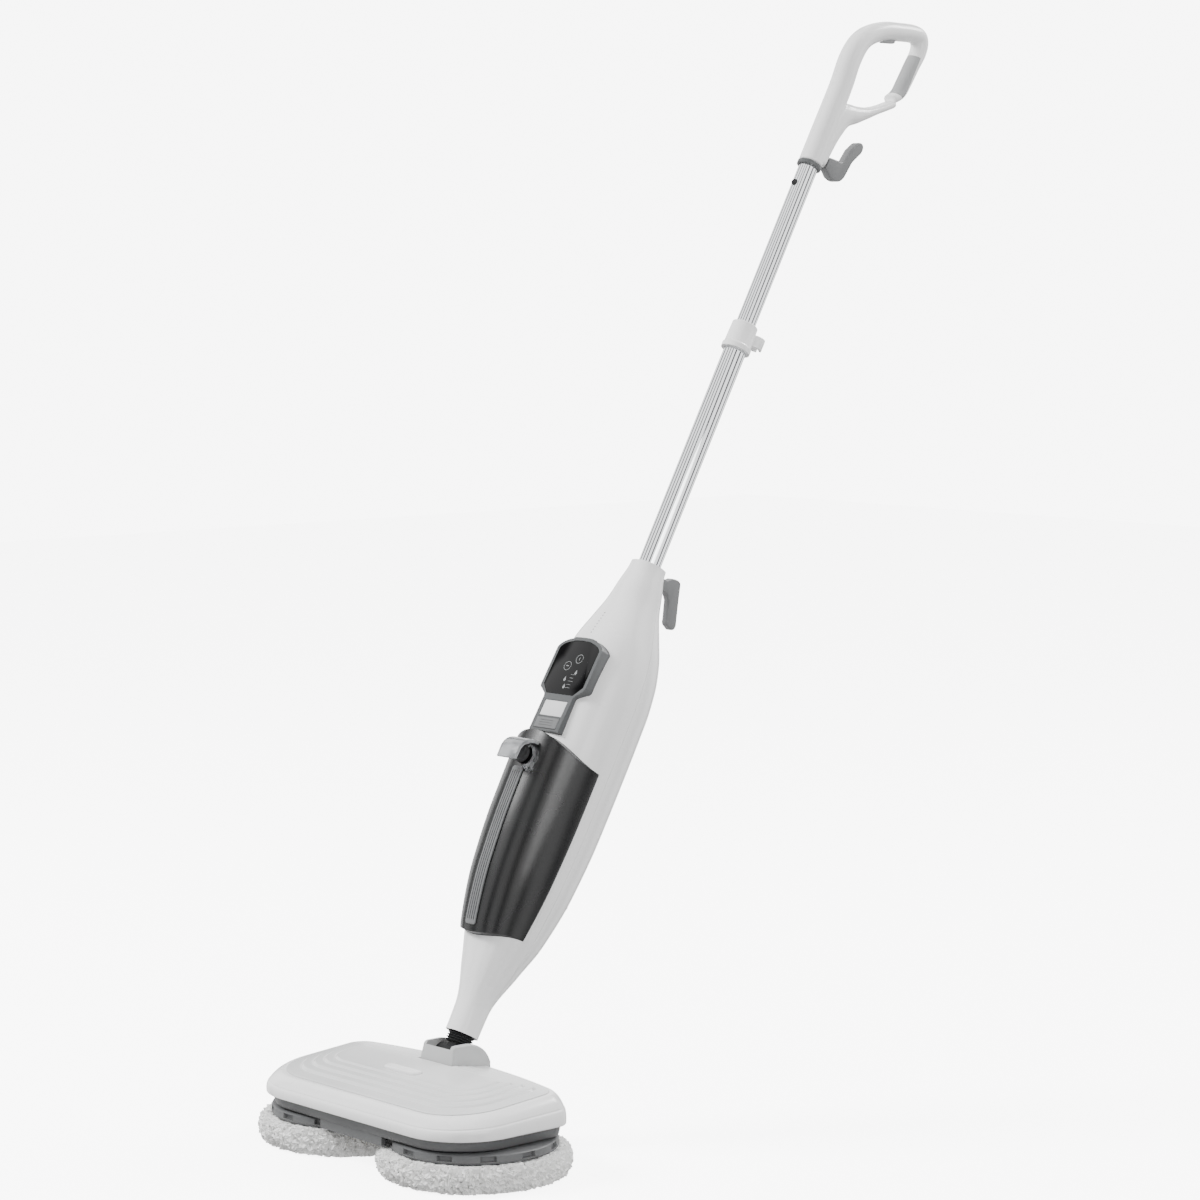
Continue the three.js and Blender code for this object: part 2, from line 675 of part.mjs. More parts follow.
function rearShell() {
  let shell = bodyCase().intersect(behind(SEAM + GAP / 2));
  for (const [x, height] of screwPlaces()) {
    shell = shell.subtract(crossRod("y", 3 + GAP, 40, [x, rearAt(height), height], 16));
  }
  const gland = crossRod("y", 6 + GAP, 30, [0, rearAt(GLAND_HEIGHT), GLAND_HEIGHT], 20);
  const hookSlot = block(
    [-4 - GAP, SEAM, LOWER_HOOK_HEIGHT - 6 - GAP],
    [4 + GAP, 60, LOWER_HOOK_HEIGHT + 6 + GAP],
  );
  return shell.subtract(gland).subtract(hookSlot);
}

// The bezel seen from the front: wide round the window, narrow round the latch.
function bezelShape(grow) {
  const wide = BEZEL_HALF_WIDTH + grow;
  const neck = BEZEL_NECK_HALF_WIDTH + grow;
  const top = PANEL_TOP + grow;
  const foot = PANEL_BOTTOM - grow;
  const shape = new THREE.Shape();
  shape.moveTo(-neck, foot);
  shape.lineTo(neck, foot);
  shape.lineTo(neck, PANEL_WAIST);
  shape.lineTo(wide, PANEL_WAIST + 10);
  shape.lineTo(wide, top - BEZEL_CORNER);
  shape.quadraticCurveTo(wide - 4, top - 4, wide - 18, top - 1.5);
  shape.quadraticCurveTo(0, top + 2, -wide + 18, top - 1.5);
  shape.quadraticCurveTo(-wide + 4, top - 4, -wide, top - BEZEL_CORNER);
  shape.lineTo(-wide, PANEL_WAIST + 10);
  shape.lineTo(-neck, PANEL_WAIST);
  return shape;
}

// The window inside the bezel's wide part, with cut corners at its foot.
function windowShape(grow) {
  const wide = BEZEL_HALF_WIDTH - WINDOW_MARGIN + grow;
  const top = PANEL_TOP - WINDOW_MARGIN + grow;
  const foot = PANEL_WAIST + 4 - grow;
  const shape = new THREE.Shape();
  shape.moveTo(-wide + 9, foot);
  shape.lineTo(wide - 9, foot);
  shape.lineTo(wide, foot + 9);
  shape.lineTo(wide, top - 9);
  shape.quadraticCurveTo(wide - 3, top - 3, wide - 15, top - 1);
  shape.quadraticCurveTo(0, top + 2, -wide + 15, top - 1);
  shape.quadraticCurveTo(-wide + 3, top - 3, -wide, top - 9);
  shape.lineTo(-wide, foot + 9);
  return shape;
}

const rectangle = (halfWidth, foot, top) => {
  const shape = new THREE.Shape();
  shape.moveTo(-halfWidth, foot);
  shape.lineTo(halfWidth, foot);
  shape.lineTo(halfWidth, top);
  shape.lineTo(-halfWidth, top);
  return shape;
};

// A layer parallel to the bezel's sloping front face, between two depths behind it.
function bezelLayer(from, to) {
  const geometry = new THREE.BoxGeometry(140, to - from, 400);
  geometry.translate(0, (from + to) / 2, 0);
  geometry.rotateX(-Math.atan(BEZEL_SLOPE));
  geometry.translate(0, -BEZEL_FRONT, PANEL_BOTTOM);
  return solid(geometry);
}

const latchFoot = PANEL_BOTTOM + 2.5;
const latchTop = latchFoot + LATCH_HEIGHT;
const insertFoot = latchTop + 2;
const insertTop = PANEL_WAIST - 3;
const latchColumn = (grow, foot, top) =>
  slab(rectangle(LATCH_HALF_WIDTH + grow, foot - grow, top + grow), -70, -20);

function panelBezel() {
  const frontWall = 3;
  return slab(bezelShape(0), -70, -26)
    .intersect(bezelLayer(0, 40))
    .subtract(slab(bezelShape(-2.5), -60, -20).intersect(bezelLayer(frontWall, 50)))
    .subtract(slab(windowShape(GAP), -70, -20).intersect(bezelLayer(-5, 1.6)))
    .subtract(latchColumn(GAP, insertFoot, insertTop).intersect(bezelLayer(-5, 1.6)))
    .subtract(latchColumn(GAP, latchFoot, latchTop).intersect(bezelLayer(-5, 8)));
}

function addPanel(stick) {
  part(stick, "panel_bezel", panelBezel(), BEZEL_GREY);
  const glass = slab(windowShape(0), -70, -20).intersect(bezelLayer(0.1, 1.3));
  part(stick, "panel_window", glass, GLOSS_BLACK);
  const insert = latchColumn(0, insertFoot, insertTop).intersect(bezelLayer(0.4, 1.3));
  part(stick, "bezel_insert", insert, PALE_GREY);
  const latch = latchColumn(0, latchFoot, latchTop).intersect(bezelLayer(-0.6, 7));
  part(stick, "tank_latch", latch, HOOK_GREY);
  part(stick, "control_board", block([-24, -24, 322], [24, -22.2, 392]), BOARD_GREEN);
}

function addBodyInternals(stick) {
  part(stick, "boiler", block([-16, 14, 215], [16, 38, 290]), ALUMINIUM);
  part(stick, "thermostat", crossRod("y", 8, 6, [0, 10.6, 262], 20), STEEL);
  part(stick, "pump", block([-15, 14, 134], [15, 34, 190]), MID_GREY);
  part(stick, "steam_pipe", rod(3, 165, [0, 9, 38], 14), NYLON);
  const socket = valveBore(VALVE_RADIUS + 3, TANK_BACK + 2 * GAP, 5);
  part(stick, "tank_socket", socket.subtract(valveBore(VALVE_RADIUS + GAP, TANK_BACK - 5, 3.5)), RUBBER);
}

// The fixed hook behind the top of the body: it hangs down and flares out.
function lowerHook() {
  const z = LOWER_HOOK_HEIGHT;
  const shape = new THREE.Shape();
  shape.moveTo(SEAM + 5.5, z + 5.5);
  shape.lineTo(25, z + 5.5);
  shape.lineTo(30, z + 10);
  shape.quadraticCurveTo(42, z + 14.5, 43.5, z + 8);
  shape.lineTo(48.5, z - 6);
  shape.lineTo(56.5, z - 27);
  shape.quadraticCurveTo(57, z - 33, 52, z - 33.5);
  shape.lineTo(47, z - 32);
  shape.quadraticCurveTo(43.5, z - 31, 43, z - 27);
  shape.lineTo(36, z - 10);
  shape.lineTo(31, z - 5.5);
  shape.lineTo(SEAM + 5.5, z - 5.5);
  return sideways(shape, 4);
}

// A shape drawn in the plane of the pole, as a plate of that half-thickness across it.
function sideways(shape, half, curveSegments = 6) {
  const geometry = new THREE.ExtrudeGeometry(shape, { depth: 2 * half, bevelEnabled: false, curveSegments });
  geometry.translate(0, 0, -half);
  geometry.rotateY(Math.PI / 2);
  geometry.rotateX(Math.PI / 2);
  return solid(geometry);
}

function addBody(stick) {
  part(stick, "front_shell", frontShell(), WHITE);
  part(stick, "rear_shell", rearShell(), WHITE);
  part(stick, "roll_pin", crossRod("y", ROLL_PIN_RADIUS, 27, [0, 0, ROLL_HEIGHT], 16), STEEL);
  addPanel(stick);
  addBodyInternals(stick);
  part(stick, "lower_cord_hook", lowerHook(), HOOK_GREY);
  const glandFace = rearAt(GLAND_HEIGHT);
  part(stick, "cord_gland", crossRod("y", 6, 8, [0, glandFace - 2.5, GLAND_HEIGHT], 20), RUBBER);
  screwPlaces().forEach(([x, height], i) => {
    const screw = crossRod("y", 3, 8, [x, rearAt(height) - 6.5, height], 12);
    part(stick, `case_screw_${i + 1}`, screw, STEEL);
  });
}

// ---------------------------------------------------------------- tank
function waterTank() {
  const cavity = bodyLoft(BODY_BOTTOM, BODY_TOP, TANK_WALL, { front: TANK_FRONT })
    .intersect(slab(tankOutline(-TANK_WALL), -90, TANK_BACK - TANK_WALL));
  return bodyLoft(BODY_BOTTOM, BODY_TOP, 0, { front: TANK_FRONT })
    .intersect(slab(tankOutline(0), -90, TANK_BACK))
    .subtract(cavity)
    .subtract(crossRod("y", 6.5, 20, [0, -TANK_FRONT, FILLER_HEIGHT], 20))
    .subtract(valveBore(VALVE_RADIUS + GAP, TANK_BACK - 4, TANK_BACK + 4));
}

function tankStrip() {
  const outer = bodyLoft(BODY_BOTTOM, BODY_TOP, -1.8, { front: TANK_FRONT });
  const inner = bodyLoft(BODY_BOTTOM, BODY_TOP, -GAP, { front: TANK_FRONT });
  const window = slab(rectangle(8, TANK_BOTTOM + 10, FILLER_HEIGHT - 12), -80, -20);
  return outer.subtract(inner).intersect(window);
}

// A finger lip over the filler: it reaches forward and curls down.
function tankLip() {
  const z = LIP_HEIGHT;
  const shape = new THREE.Shape();
  shape.moveTo(-TANK_FRONT + 6, z);
  shape.lineTo(-TANK_FRONT + 6, z - 3);
  shape.lineTo(-61, z - 4);
  shape.quadraticCurveTo(-71, z - 8, -72.5, z - 16);
  shape.lineTo(-73, z - 26);
  shape.lineTo(-75.5, z - 26);
  shape.lineTo(-75.5, z - 15);
  shape.quadraticCurveTo(-74, z - 4, -62, z - 1);
  const clear = bodyLoft(BODY_BOTTOM, BODY_TOP, -GAP, { front: TANK_FRONT });
  return sideways(shape, LIP_HALF_WIDTH).subtract(clear);
}

function addTank(stick) {
  part(stick, "water_tank", waterTank(), SMOKY);
  part(stick, "tank_strip", tankStrip(), BRACKET_GREY);
  part(stick, "tank_lip", tankLip(), SMOKY);
  const plug = crossRod("y", 6.2, 6, [0, -TANK_FRONT + 1, FILLER_HEIGHT], 20);
  const flange = crossRod("y", 8.5, 2.5, [0, -TANK_FRONT - 2.2, FILLER_HEIGHT], 24);
  part(stick, "tank_cap", plug.add(flange), RUBBER);
  part(stick, "tank_valve", valveBore(VALVE_RADIUS, TANK_BACK - 7, TANK_BACK + 5), NYLON);
  part(stick, "suction_tube", rod(2.2, 140, [TUBE_BEND, -14, VALVE_HEIGHT], 12), NYLON);
}

// ---------------------------------------------------------------- pole
function poleCollar() {
  const z = COLLAR_HEIGHT;
  const bore = LOWER_TUBE_RADIUS + GAP;
  const narrow = UPPER_TUBE_RADIUS + GAP;
  const profile = [[0, -14], [14.5, -14], [14.5, -9], [13.3, -7], [12.8, 13], [12, 14], [0, 14]];
  const outer = turned(profile, 24, [0, 0, z]);
  return outer.subtract(rod(bore, 16.3, [0, 0, z - 15], 28)).subtract(rod(narrow, 40, [0, 0, z - 10], 28));
}

// An open C that holds the cord, on a foot that grips the collar.
function cordClip() {
  const [y, z] = [21.5, COLLAR_HEIGHT + 5];
  const clip = ring(7.5, 4.8, 12, [0, y, z - 6], 24);
  const mouth = block([-3, y + 2, z - 8], [3, y + 12, z + 8]);
  const foot = block([-3, 12, z - 4], [3, y - 5.5, z + 4]);
  const clear = rod(13.5 + GAP, 40, [0, 0, z - 20], 24);
  return clip.subtract(mouth).add(foot).subtract(clear);
}

const tube = (radius, from, to) => ring(radius, radius - TUBE_WALL, to - from, [0, 0, from], 28);

function addPole(stick) {
  const lowerTop = COLLAR_HEIGHT + 1;
  part(stick, "lower_tube", tube(LOWER_TUBE_RADIUS, LOWER_TUBE_BOTTOM, lowerTop), CHROME);
  part(stick, "pole_collar", poleCollar(), WHITE);
  part(stick, "cord_clip", cordClip(), WHITE);
  const upperBottom = lowerTop - TUBE_OVERLAP;
  const upperTop = HANDLE_BOTTOM + SOCKET_DEPTH - GAP;
  const snapHole = crossRod("y", 3 + GAP, 12, [0, -UPPER_TUBE_RADIUS, SNAP_HEIGHT], 16);
  const upper = tube(UPPER_TUBE_RADIUS, upperBottom, upperTop);
  part(stick, "upper_tube", upper.subtract(snapHole), CHROME);
  part(stick, "snap_button", crossRod("y", 3, 6, [0, -UPPER_TUBE_RADIUS + 1, SNAP_HEIGHT], 16), RUBBER);
}

// ---------------------------------------------------------------- handle
// The loop's main bar runs up the spine, over the top and down the rear; the strut closes it.
function handleLoop() {
  const spineAndGrip = bar(
    [
      [0, HANDLE_BOTTOM],
      [0, HANDLE_BOTTOM + 38],
      [0, HANDLE_BOTTOM + 85],
      [-2, TOP_BAR - 68],
      [1, TOP_BAR - 47],
      [10, TOP_BAR - 32],
      [26, TOP_BAR - 18],
      [44, TOP_BAR - 8],
      [60, TOP_BAR],
      [GRIP_SETBACK - 6, TOP_BAR + 2],
      [GRIP_SETBACK, TOP_BAR - 3],
      [GRIP_SETBACK + 2, TOP_BAR - 13],
      [GRIP_SETBACK + 0.5, TOP_BAR - 28],
      [GRIP_SETBACK - 1, GRIP_FOOT + 28],
      [GRIP_SETBACK - 3, GRIP_FOOT + 14],
      [GRIP_SETBACK - 10, GRIP_FOOT + 3],
    ],
    [[0, 11.8], [0.2, 11.7], [0.3, 10.5], [0.4, 9.5], [0.6, 9], [0.7, 7.8], [0.9, 7.5], [1, 5.5]],
    [[0, 11.8], [0.3, 11], [0.6, 10], [1, 8.5]],
    30,
  );
  const strut = bar(
    [
      [GRIP_SETBACK - 6, GRIP_FOOT],
      [GRIP_SETBACK - 20, GRIP_FOOT - 14],
      [GRIP_SETBACK - 34, GRIP_FOOT - 27],
      [30, GRIP_FOOT - 36],
      [16, GRIP_FOOT - 46],
      [9, GRIP_FOOT - 66],
      [4, GRIP_FOOT - 83],
    ],
    [[0, 4.5], [0.17, 4.5], [0.33, 6], [0.5, 9], [0.67, 12], [0.83, 11.5], [1, 9]],
    [[0, 8], [1, 10.5]],
    12,
  );
  return spineAndGrip.add(strut);
}

const gripFrom = GRIP_FOOT + 10;
const gripTo = TOP_BAR - 19;
const gripFace = GRIP_SETBACK; // the insert lies on the finger side of this plane

function handleCore() {
  return handleLoop()
    .subtract(rod(UPPER_TUBE_RADIUS + GAP, SOCKET_DEPTH + 5, [0, 0, HANDLE_BOTTOM - 5], 28))
    .subtract(block([-20, gripFace - 20, gripFrom - GAP], [20, gripFace + GAP, gripTo + GAP]))
    .subtract(triggerBox(GAP + 0.2, 5))
    .subtract(crossRod("y", 4 + GAP, 12, [0, 14, HOOK_HEIGHT], 18));
}

// The trigger sits in the underside of the top bar, near the spine.
function triggerBox(grow, rise) {
  const geometry = new THREE.BoxGeometry(8 + 2 * grow, 18 + 2 * grow, 9 + rise);
  geometry.translate(0, 0, rise / 2);
  geometry.rotateX(TRIGGER_TURN);
  geometry.translate(0, TRIGGER_SETBACK, TOP_BAR - TRIGGER_DROP);
  return solid(geometry);
}

function gripInsert() {
  const slice = block([-20, gripFace - 20, gripFrom], [20, gripFace, gripTo]);
  return handleLoop().intersect(slice);
}

// The hook turns on a boss behind the handle: a stem, then a prong that rises and flares out.
function upperHook() {
  const z = HOOK_HEIGHT;
  const shape = new THREE.Shape();
  shape.moveTo(16, z - 6);
  shape.lineTo(27, z - 11);
  shape.quadraticCurveTo(43, z - 13, 45, z + 2);
  shape.lineTo(47, z + 17);
  shape.lineTo(53.5, z + 31);
  shape.quadraticCurveTo(55, z + 38, 51, z + 40);
  shape.quadraticCurveTo(47, z + 41, 44, z + 37);
  shape.lineTo(39, z + 27);
  shape.lineTo(37, z + 14);
  shape.quadraticCurveTo(35, z + 9, 29, z + 9);
  shape.lineTo(16, z + 6);
  return sideways(shape, 5).subtract(crossRod("y", 2 + GAP, 12, [0, 18, z], 12));
}

function addHandle(stick) {
  const core = handleCore();
  const halves = [["left", -30, -GAP / 2], ["right", GAP / 2, 30]];
  for (const [side, from, to] of halves) {
    const half = core.intersect(block([from, -60, HANDLE_BOTTOM - 20], [to, 120, TOP_BAR + 40]));
    part(stick, `handle_${side}_shell`, half, WHITE);
  }
  part(stick, "grip_insert", gripInsert(), GRIP_GREY);
  part(stick, "steam_trigger", triggerBox(0, 0), HOOK_GREY);
  const ferrule = ring(12.2, UPPER_TUBE_RADIUS + GAP, 4, [0, 0, HANDLE_BOTTOM - 4 - GAP], 32);
  part(stick, "handle_ferrule", ferrule, BEZEL_GREY);
  part(stick, "upper_cord_hook", upperHook(), HOOK_GREY);
  part(stick, "hook_screw", crossRod("y", 2, 12, [0, 17, HOOK_HEIGHT], 12), STEEL);
}

// ---------------------------------------------------------------- the whole mop
const mop = new THREE.Group();
addHead(mop);
addRotor(mop, -1);
addRotor(mop, 1);
const stick = new THREE.Group();
stick.position.set(0, NECK_Y, NECK_Z);
stick.rotation.x = -LEAN;
mop.add(stick);
addNeck(stick);
addBody(stick);
addTank(stick);
addPole(stick);
addHandle(stick);

// The origin is on the floor, under the middle of the whole mop.
const extent = new THREE.Box3().setFromObject(mop, true);
mop.position.set(0, -(extent.min.y + extent.max.y) / 2, -extent.min.z);
const model = new THREE.Group();
model.add(mop);
export default model;
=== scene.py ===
import json
import math

import bmesh
import bpy
from mathutils import Matrix, Vector, noise


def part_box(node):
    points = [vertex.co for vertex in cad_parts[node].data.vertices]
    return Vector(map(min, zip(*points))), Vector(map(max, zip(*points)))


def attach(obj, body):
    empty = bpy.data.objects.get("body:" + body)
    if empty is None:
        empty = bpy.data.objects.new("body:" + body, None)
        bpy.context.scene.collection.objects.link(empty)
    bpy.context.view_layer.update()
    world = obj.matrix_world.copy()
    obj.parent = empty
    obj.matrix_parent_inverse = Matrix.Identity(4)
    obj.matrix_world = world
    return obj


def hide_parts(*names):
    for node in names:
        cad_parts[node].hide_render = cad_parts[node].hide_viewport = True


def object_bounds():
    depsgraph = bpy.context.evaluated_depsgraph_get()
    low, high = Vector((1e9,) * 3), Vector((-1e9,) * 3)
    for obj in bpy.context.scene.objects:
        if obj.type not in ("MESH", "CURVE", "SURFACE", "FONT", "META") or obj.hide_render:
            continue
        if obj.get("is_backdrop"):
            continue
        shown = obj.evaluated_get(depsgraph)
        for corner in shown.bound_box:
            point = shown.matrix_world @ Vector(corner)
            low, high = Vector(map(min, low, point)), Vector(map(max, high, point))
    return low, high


# A steam mop. Shapes are drawn in millimetres, in one of two frames: the head's, with the
# floor at 0 and the middle between the pads at the origin, or the pole's, where the second
# number runs rearwards from the pole's axis and the third runs up the pole from the neck.
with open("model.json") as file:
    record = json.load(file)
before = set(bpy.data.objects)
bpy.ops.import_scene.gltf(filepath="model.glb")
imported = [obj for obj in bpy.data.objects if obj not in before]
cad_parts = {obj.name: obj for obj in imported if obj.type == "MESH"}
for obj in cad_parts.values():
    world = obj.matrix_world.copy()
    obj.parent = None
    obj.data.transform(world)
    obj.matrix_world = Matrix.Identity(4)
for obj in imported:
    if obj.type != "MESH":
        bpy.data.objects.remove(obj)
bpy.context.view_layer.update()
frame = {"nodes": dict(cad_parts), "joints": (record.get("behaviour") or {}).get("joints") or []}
joints = {j["name"]: j for j in frame["joints"]}
tilt_pin = Vector(joints["neck_tilt"]["pos_m"])
pole_up = Vector(joints["pole_telescope"]["axis"])
pole_back = Vector(joints["neck_roll"]["axis"])
MM = 0.001
STICK = Matrix(
    (
        (MM, 0, 0, tilt_pin.x),
        (0, pole_back.y * MM, pole_up.y * MM, tilt_pin.y),
        (0, pole_back.z * MM, pole_up.z * MM, tilt_pin.z),
        (0, 0, 0, 1),
    )
)
pad_low, pad_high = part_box("left_mop_pad")
HEAD = Matrix.Translation((0, (pad_low.y + pad_high.y) / 2, 0)) @ Matrix.Scale(MM, 4)
scene = bpy.context.scene

# ---------------------------------------------------------------- camera
AZIMUTH, ELEVATION, DISTANCE = math.radians(46.4), math.radians(5.64), 3.4
looked_at = HEAD @ Vector((0, 355.85, 477.4))
side_step = 0.09566  # the view is centred this far to the left of the mop's middle
facing = Vector(
    (-math.sin(AZIMUTH) * math.cos(ELEVATION), math.cos(AZIMUTH) * math.cos(ELEVATION), -math.sin(ELEVATION))
)
across = Vector((math.cos(AZIMUTH), math.sin(AZIMUTH), 0))
lens = bpy.data.cameras.new("camera")
lens.lens = 106.63
lens.sensor_width = 36
camera = bpy.data.objects.new("camera", lens)
scene.collection.objects.link(camera)
camera.location = looked_at - facing * DISTANCE
aim = looked_at - across * side_step - camera.location
camera.rotation_euler = aim.to_track_quat("-Z", "Y").to_euler()
scene.camera = camera


# ---------------------------------------------------------------- solids
def solid(name, points, faces):
    """A closed mesh object in millimetres, its faces turned outwards."""
    mesh = bpy.data.meshes.new(name)
    mesh.from_pydata([tuple(p) for p in points], [], faces)
    bm = bmesh.new()
    bm.from_mesh(mesh)
    bmesh.ops.remove_doubles(bm, verts=bm.verts, dist=1e-4)
    bmesh.ops.recalc_face_normals(bm, faces=bm.faces)
    bm.to_mesh(mesh)
    bm.free()
    made = bpy.data.objects.new(name, mesh)
    scene.collection.objects.link(made)
    return made


def loft(name, rings):
    """A solid through equal rings of points, closed at both ends."""
    count = len(rings[0])
    faces = []
    for k in range(len(rings) - 1):
        for i in range(count):
            j = (i + 1) % count
            faces.append((k * count + i, k * count + j, (k + 1) * count + j, (k + 1) * count + i))
    last = (len(rings) - 1) * count
    faces.append(tuple(range(count - 1, -1, -1)))
    faces.append(tuple(range(last, last + count)))
    return solid(name, [p for ring in rings for p in ring], faces)


FLAT = {
    "front": lambda a, b, d: (a, d, b),  # drawn across and up the pole, thick from front to back
    "side": lambda a, b, d: (d, a, b),  # drawn in the plane of the pole, thick across it
    "plan": lambda a, b, d: (a, b, d),  # drawn from above, thick upwards
}


def slab(name, outline, low, high, drawn="front"):
    """An outline given a thickness."""
    place = FLAT[drawn]
    return loft(name, [[place(a, b, d) for a, b in outline] for d in (low, high)])


def outline(start, *moves):
    """Points along straight moves (x, y) and bent ones (pull x, pull y, x, y)."""
    points = [start]
    for move in moves:
        if len(move) == 2:
            points.append(move)
            continue
        (x0, y0), (cx, cy, x1, y1) = points[-1], move
        for i in range(1, 11):
            t = i / 10
            a, b, c = (1 - t) ** 2, 2 * t * (1 - t), t * t
            points.append((a * x0 + b * cx + c * x1, a * y0 + b * cy + c * y1))
    return points


def rounded(half_width, half_depth, corner, steps=10):
    """A rounded rectangle, centred."""
    points = []
    for k, (sx, sy) in enumerate(((1, 1), (-1, 1), (-1, -1), (1, -1))):
        for i in range(steps + 1):
            a = math.pi / 2 * (k + i / steps)
            x, y = sx * (half_width - corner), sy * (half_depth - corner)
            points.append((x + corner * math.cos(a), y + corner * math.sin(a)))
    return points


def box(name, low, high):
    corners = [(low[0], low[1]), (high[0], low[1]), (high[0], high[1]), (low[0], high[1])]
    return slab(name, corners, low[2], high[2], "plan")


def turned(name, profile, middle=(0, 0), sides=96, drawn="plan"):
    """A solid of revolution through (radius, height) points, about a line through the middle."""
    place = FLAT[drawn]
    rings = []
    for radius, height in profile:
        ring = [2 * math.pi * i / sides for i in range(sides)]
        reach = max(radius, 0.02)
        rings.append(
            [place(middle[0] + reach * math.cos(a), middle[1] + reach * math.sin(a), height) for a in ring]
        )
    return loft(name, rings)


def rod(name, radius, low, high, middle=(0, 0), sides=64, drawn="plan", edge=0.0):
    """A cylinder, its two rims rounded by the edge."""
    profile = [(radius, low), (radius, high)]
    if edge:
        quarter = [math.pi / 2 * i / 4 for i in range(5)]
        foot = [(radius - edge + edge * math.sin(a), low + edge - edge * math.cos(a)) for a in quarter]
        head = [(radius - edge + edge * math.cos(a), high - edge + edge * math.sin(a)) for a in quarter]
        profile = foot + head
    return turned(name, profile, middle, sides, drawn)


def settle(made):
    """The object's modifiers, made into its plain mesh."""
    graph = bpy.context.evaluated_depsgraph_get()
    mesh = bpy.data.meshes.new_from_object(made.evaluated_get(graph))
    made.modifiers.clear()
    made.data = mesh
    return made


def join(first, second, how="DIFFERENCE"):
    """The first solid less, with, or shared with the second, which is then thrown away."""
    cut = first.modifiers.new("cut", "BOOLEAN")
    cut.object = second
    cut.operation = how
    cut.solver = "MANIFOLD"
    settle(first)
    bpy.data.objects.remove(second)
    return first


def soften(made, width, segments=3, angle=35):
    """Edges sharper than the angle, rounded."""
    bevel = made.modifiers.new("edges", "BEVEL")
    bevel.width = width
    bevel.segments = segments
    bevel.limit_method = "ANGLE"
    bevel.angle_limit = math.radians(angle)
    return settle(made)


def twin(made, name):
    again = made.copy()
    again.data = made.data.copy()
    again.name = name
    scene.collection.objects.link(again)
    return again


def fit(made, place, body, finish, replaces=(), sharp=32):
    """Puts a finished shape in place, on its body, in its material."""
    made.data.transform(place)
    made.data.materials.clear()
    made.data.materials.append(finish)
    made.data.shade_smooth()
    made.data.set_sharp_from_angle(angle=math.radians(sharp))
    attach(made, body)
    if replaces:
        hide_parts(*replaces)
    return made


def through(stations):
    """A smooth value through (place, value) stations, without overshoot."""
    slopes = [0.0] * len(stations)
    for i in range(1, len(stations) - 1):
        (x0, y0), (x1, y1), (x2, y2) = stations[i - 1 : i + 2]
        left, right = (y1 - y0) / (x1 - x0), (y2 - y1) / (x2 - x1)
        slopes[i] = 2 * left * right / (left + right) if left * right > 0 else 0.0

    def value(place):
        if place <= stations[0][0]:
            return stations[0][1]
        if place >= stations[-1][0]:
            return stations[-1][1]
        i = max(k for k, s in enumerate(stations) if s[0] <= place)
        (x0, y0), (x1, y1) = stations[i], stations[i + 1]
        h, t = x1 - x0, (place - x0) / (x1 - x0)
        bend = (1 + 2 * t) * (1 - t) ** 2 * y0 + t * t * (3 - 2 * t) * y1
        return bend + t * (1 - t) ** 2 * h * slopes[i] + t * t * (t - 1) * h * slopes[i + 1]

    return value


def spread(low, high, count):
    return [low + (high - low) * i / count for i in range(count + 1)]


def bar(name, points, depths, widths, count=150, sides=36):
    """A bar along a curve in the plane of the pole, with its own depth and width at each step."""
    depth, width = through(depths), through(widths)
    last = len(points) - 1

    def at(t):
        k = min(int(t * last), last - 1)
        s = t * last - k
        p = [Vector(points[min(max(k + o, 0), last)]) for o in (-1, 0, 1, 2)]
        if k == 0:
            p[0] = 2 * p[1] - p[2]
        if k == last - 1:
            p[3] = 2 * p[2] - p[1]
        return 0.5 * (2 * p[1] + (p[2] - p[0]) * s + (2 * p[0] - 5 * p[1] + 4 * p[2] - p[3]) * s * s
                      + (3 * p[1] - p[0] - 3 * p[2] + p[3]) * s**3)

    rings = []
    for t in spread(0, 1, count):
        middle = at(t)
        along = (at(min(t + 1e-3, 1)) - at(max(t - 1e-3, 0))).normalized()
        ring = []
        for i in range(sides):
            a = 2 * math.pi * i / sides
            out = depth(t) * math.cos(a)
            ring.append((width(t) * math.sin(a), middle.x - along.y * out, middle.y + along.x * out))
        rings.append(ring)
    return loft(name, rings)


# ---------------------------------------------------------------- finishes
def tint(code):
    """A linear colour from an sRGB hex value."""
    parts = [int(code[i : i + 2], 16) / 255 for i in (1, 3, 5)]
    return (*[c / 12.92 if c <= 0.04045 else ((c + 0.055) / 1.055) ** 2.4 for c in parts], 1)


def add(tree, kind, sockets=None, **settings):
    """Adds a node with its settings, values and links."""
    made = tree.nodes.new(kind)
    for key, value in settings.items():
        setattr(made, key, value)
    for key, value in (sockets or {}).items():
        if isinstance(value, bpy.types.NodeSocket):
            tree.links.new(value, made.inputs[key])
        else:
            made.inputs[key].default_value = value
    return made


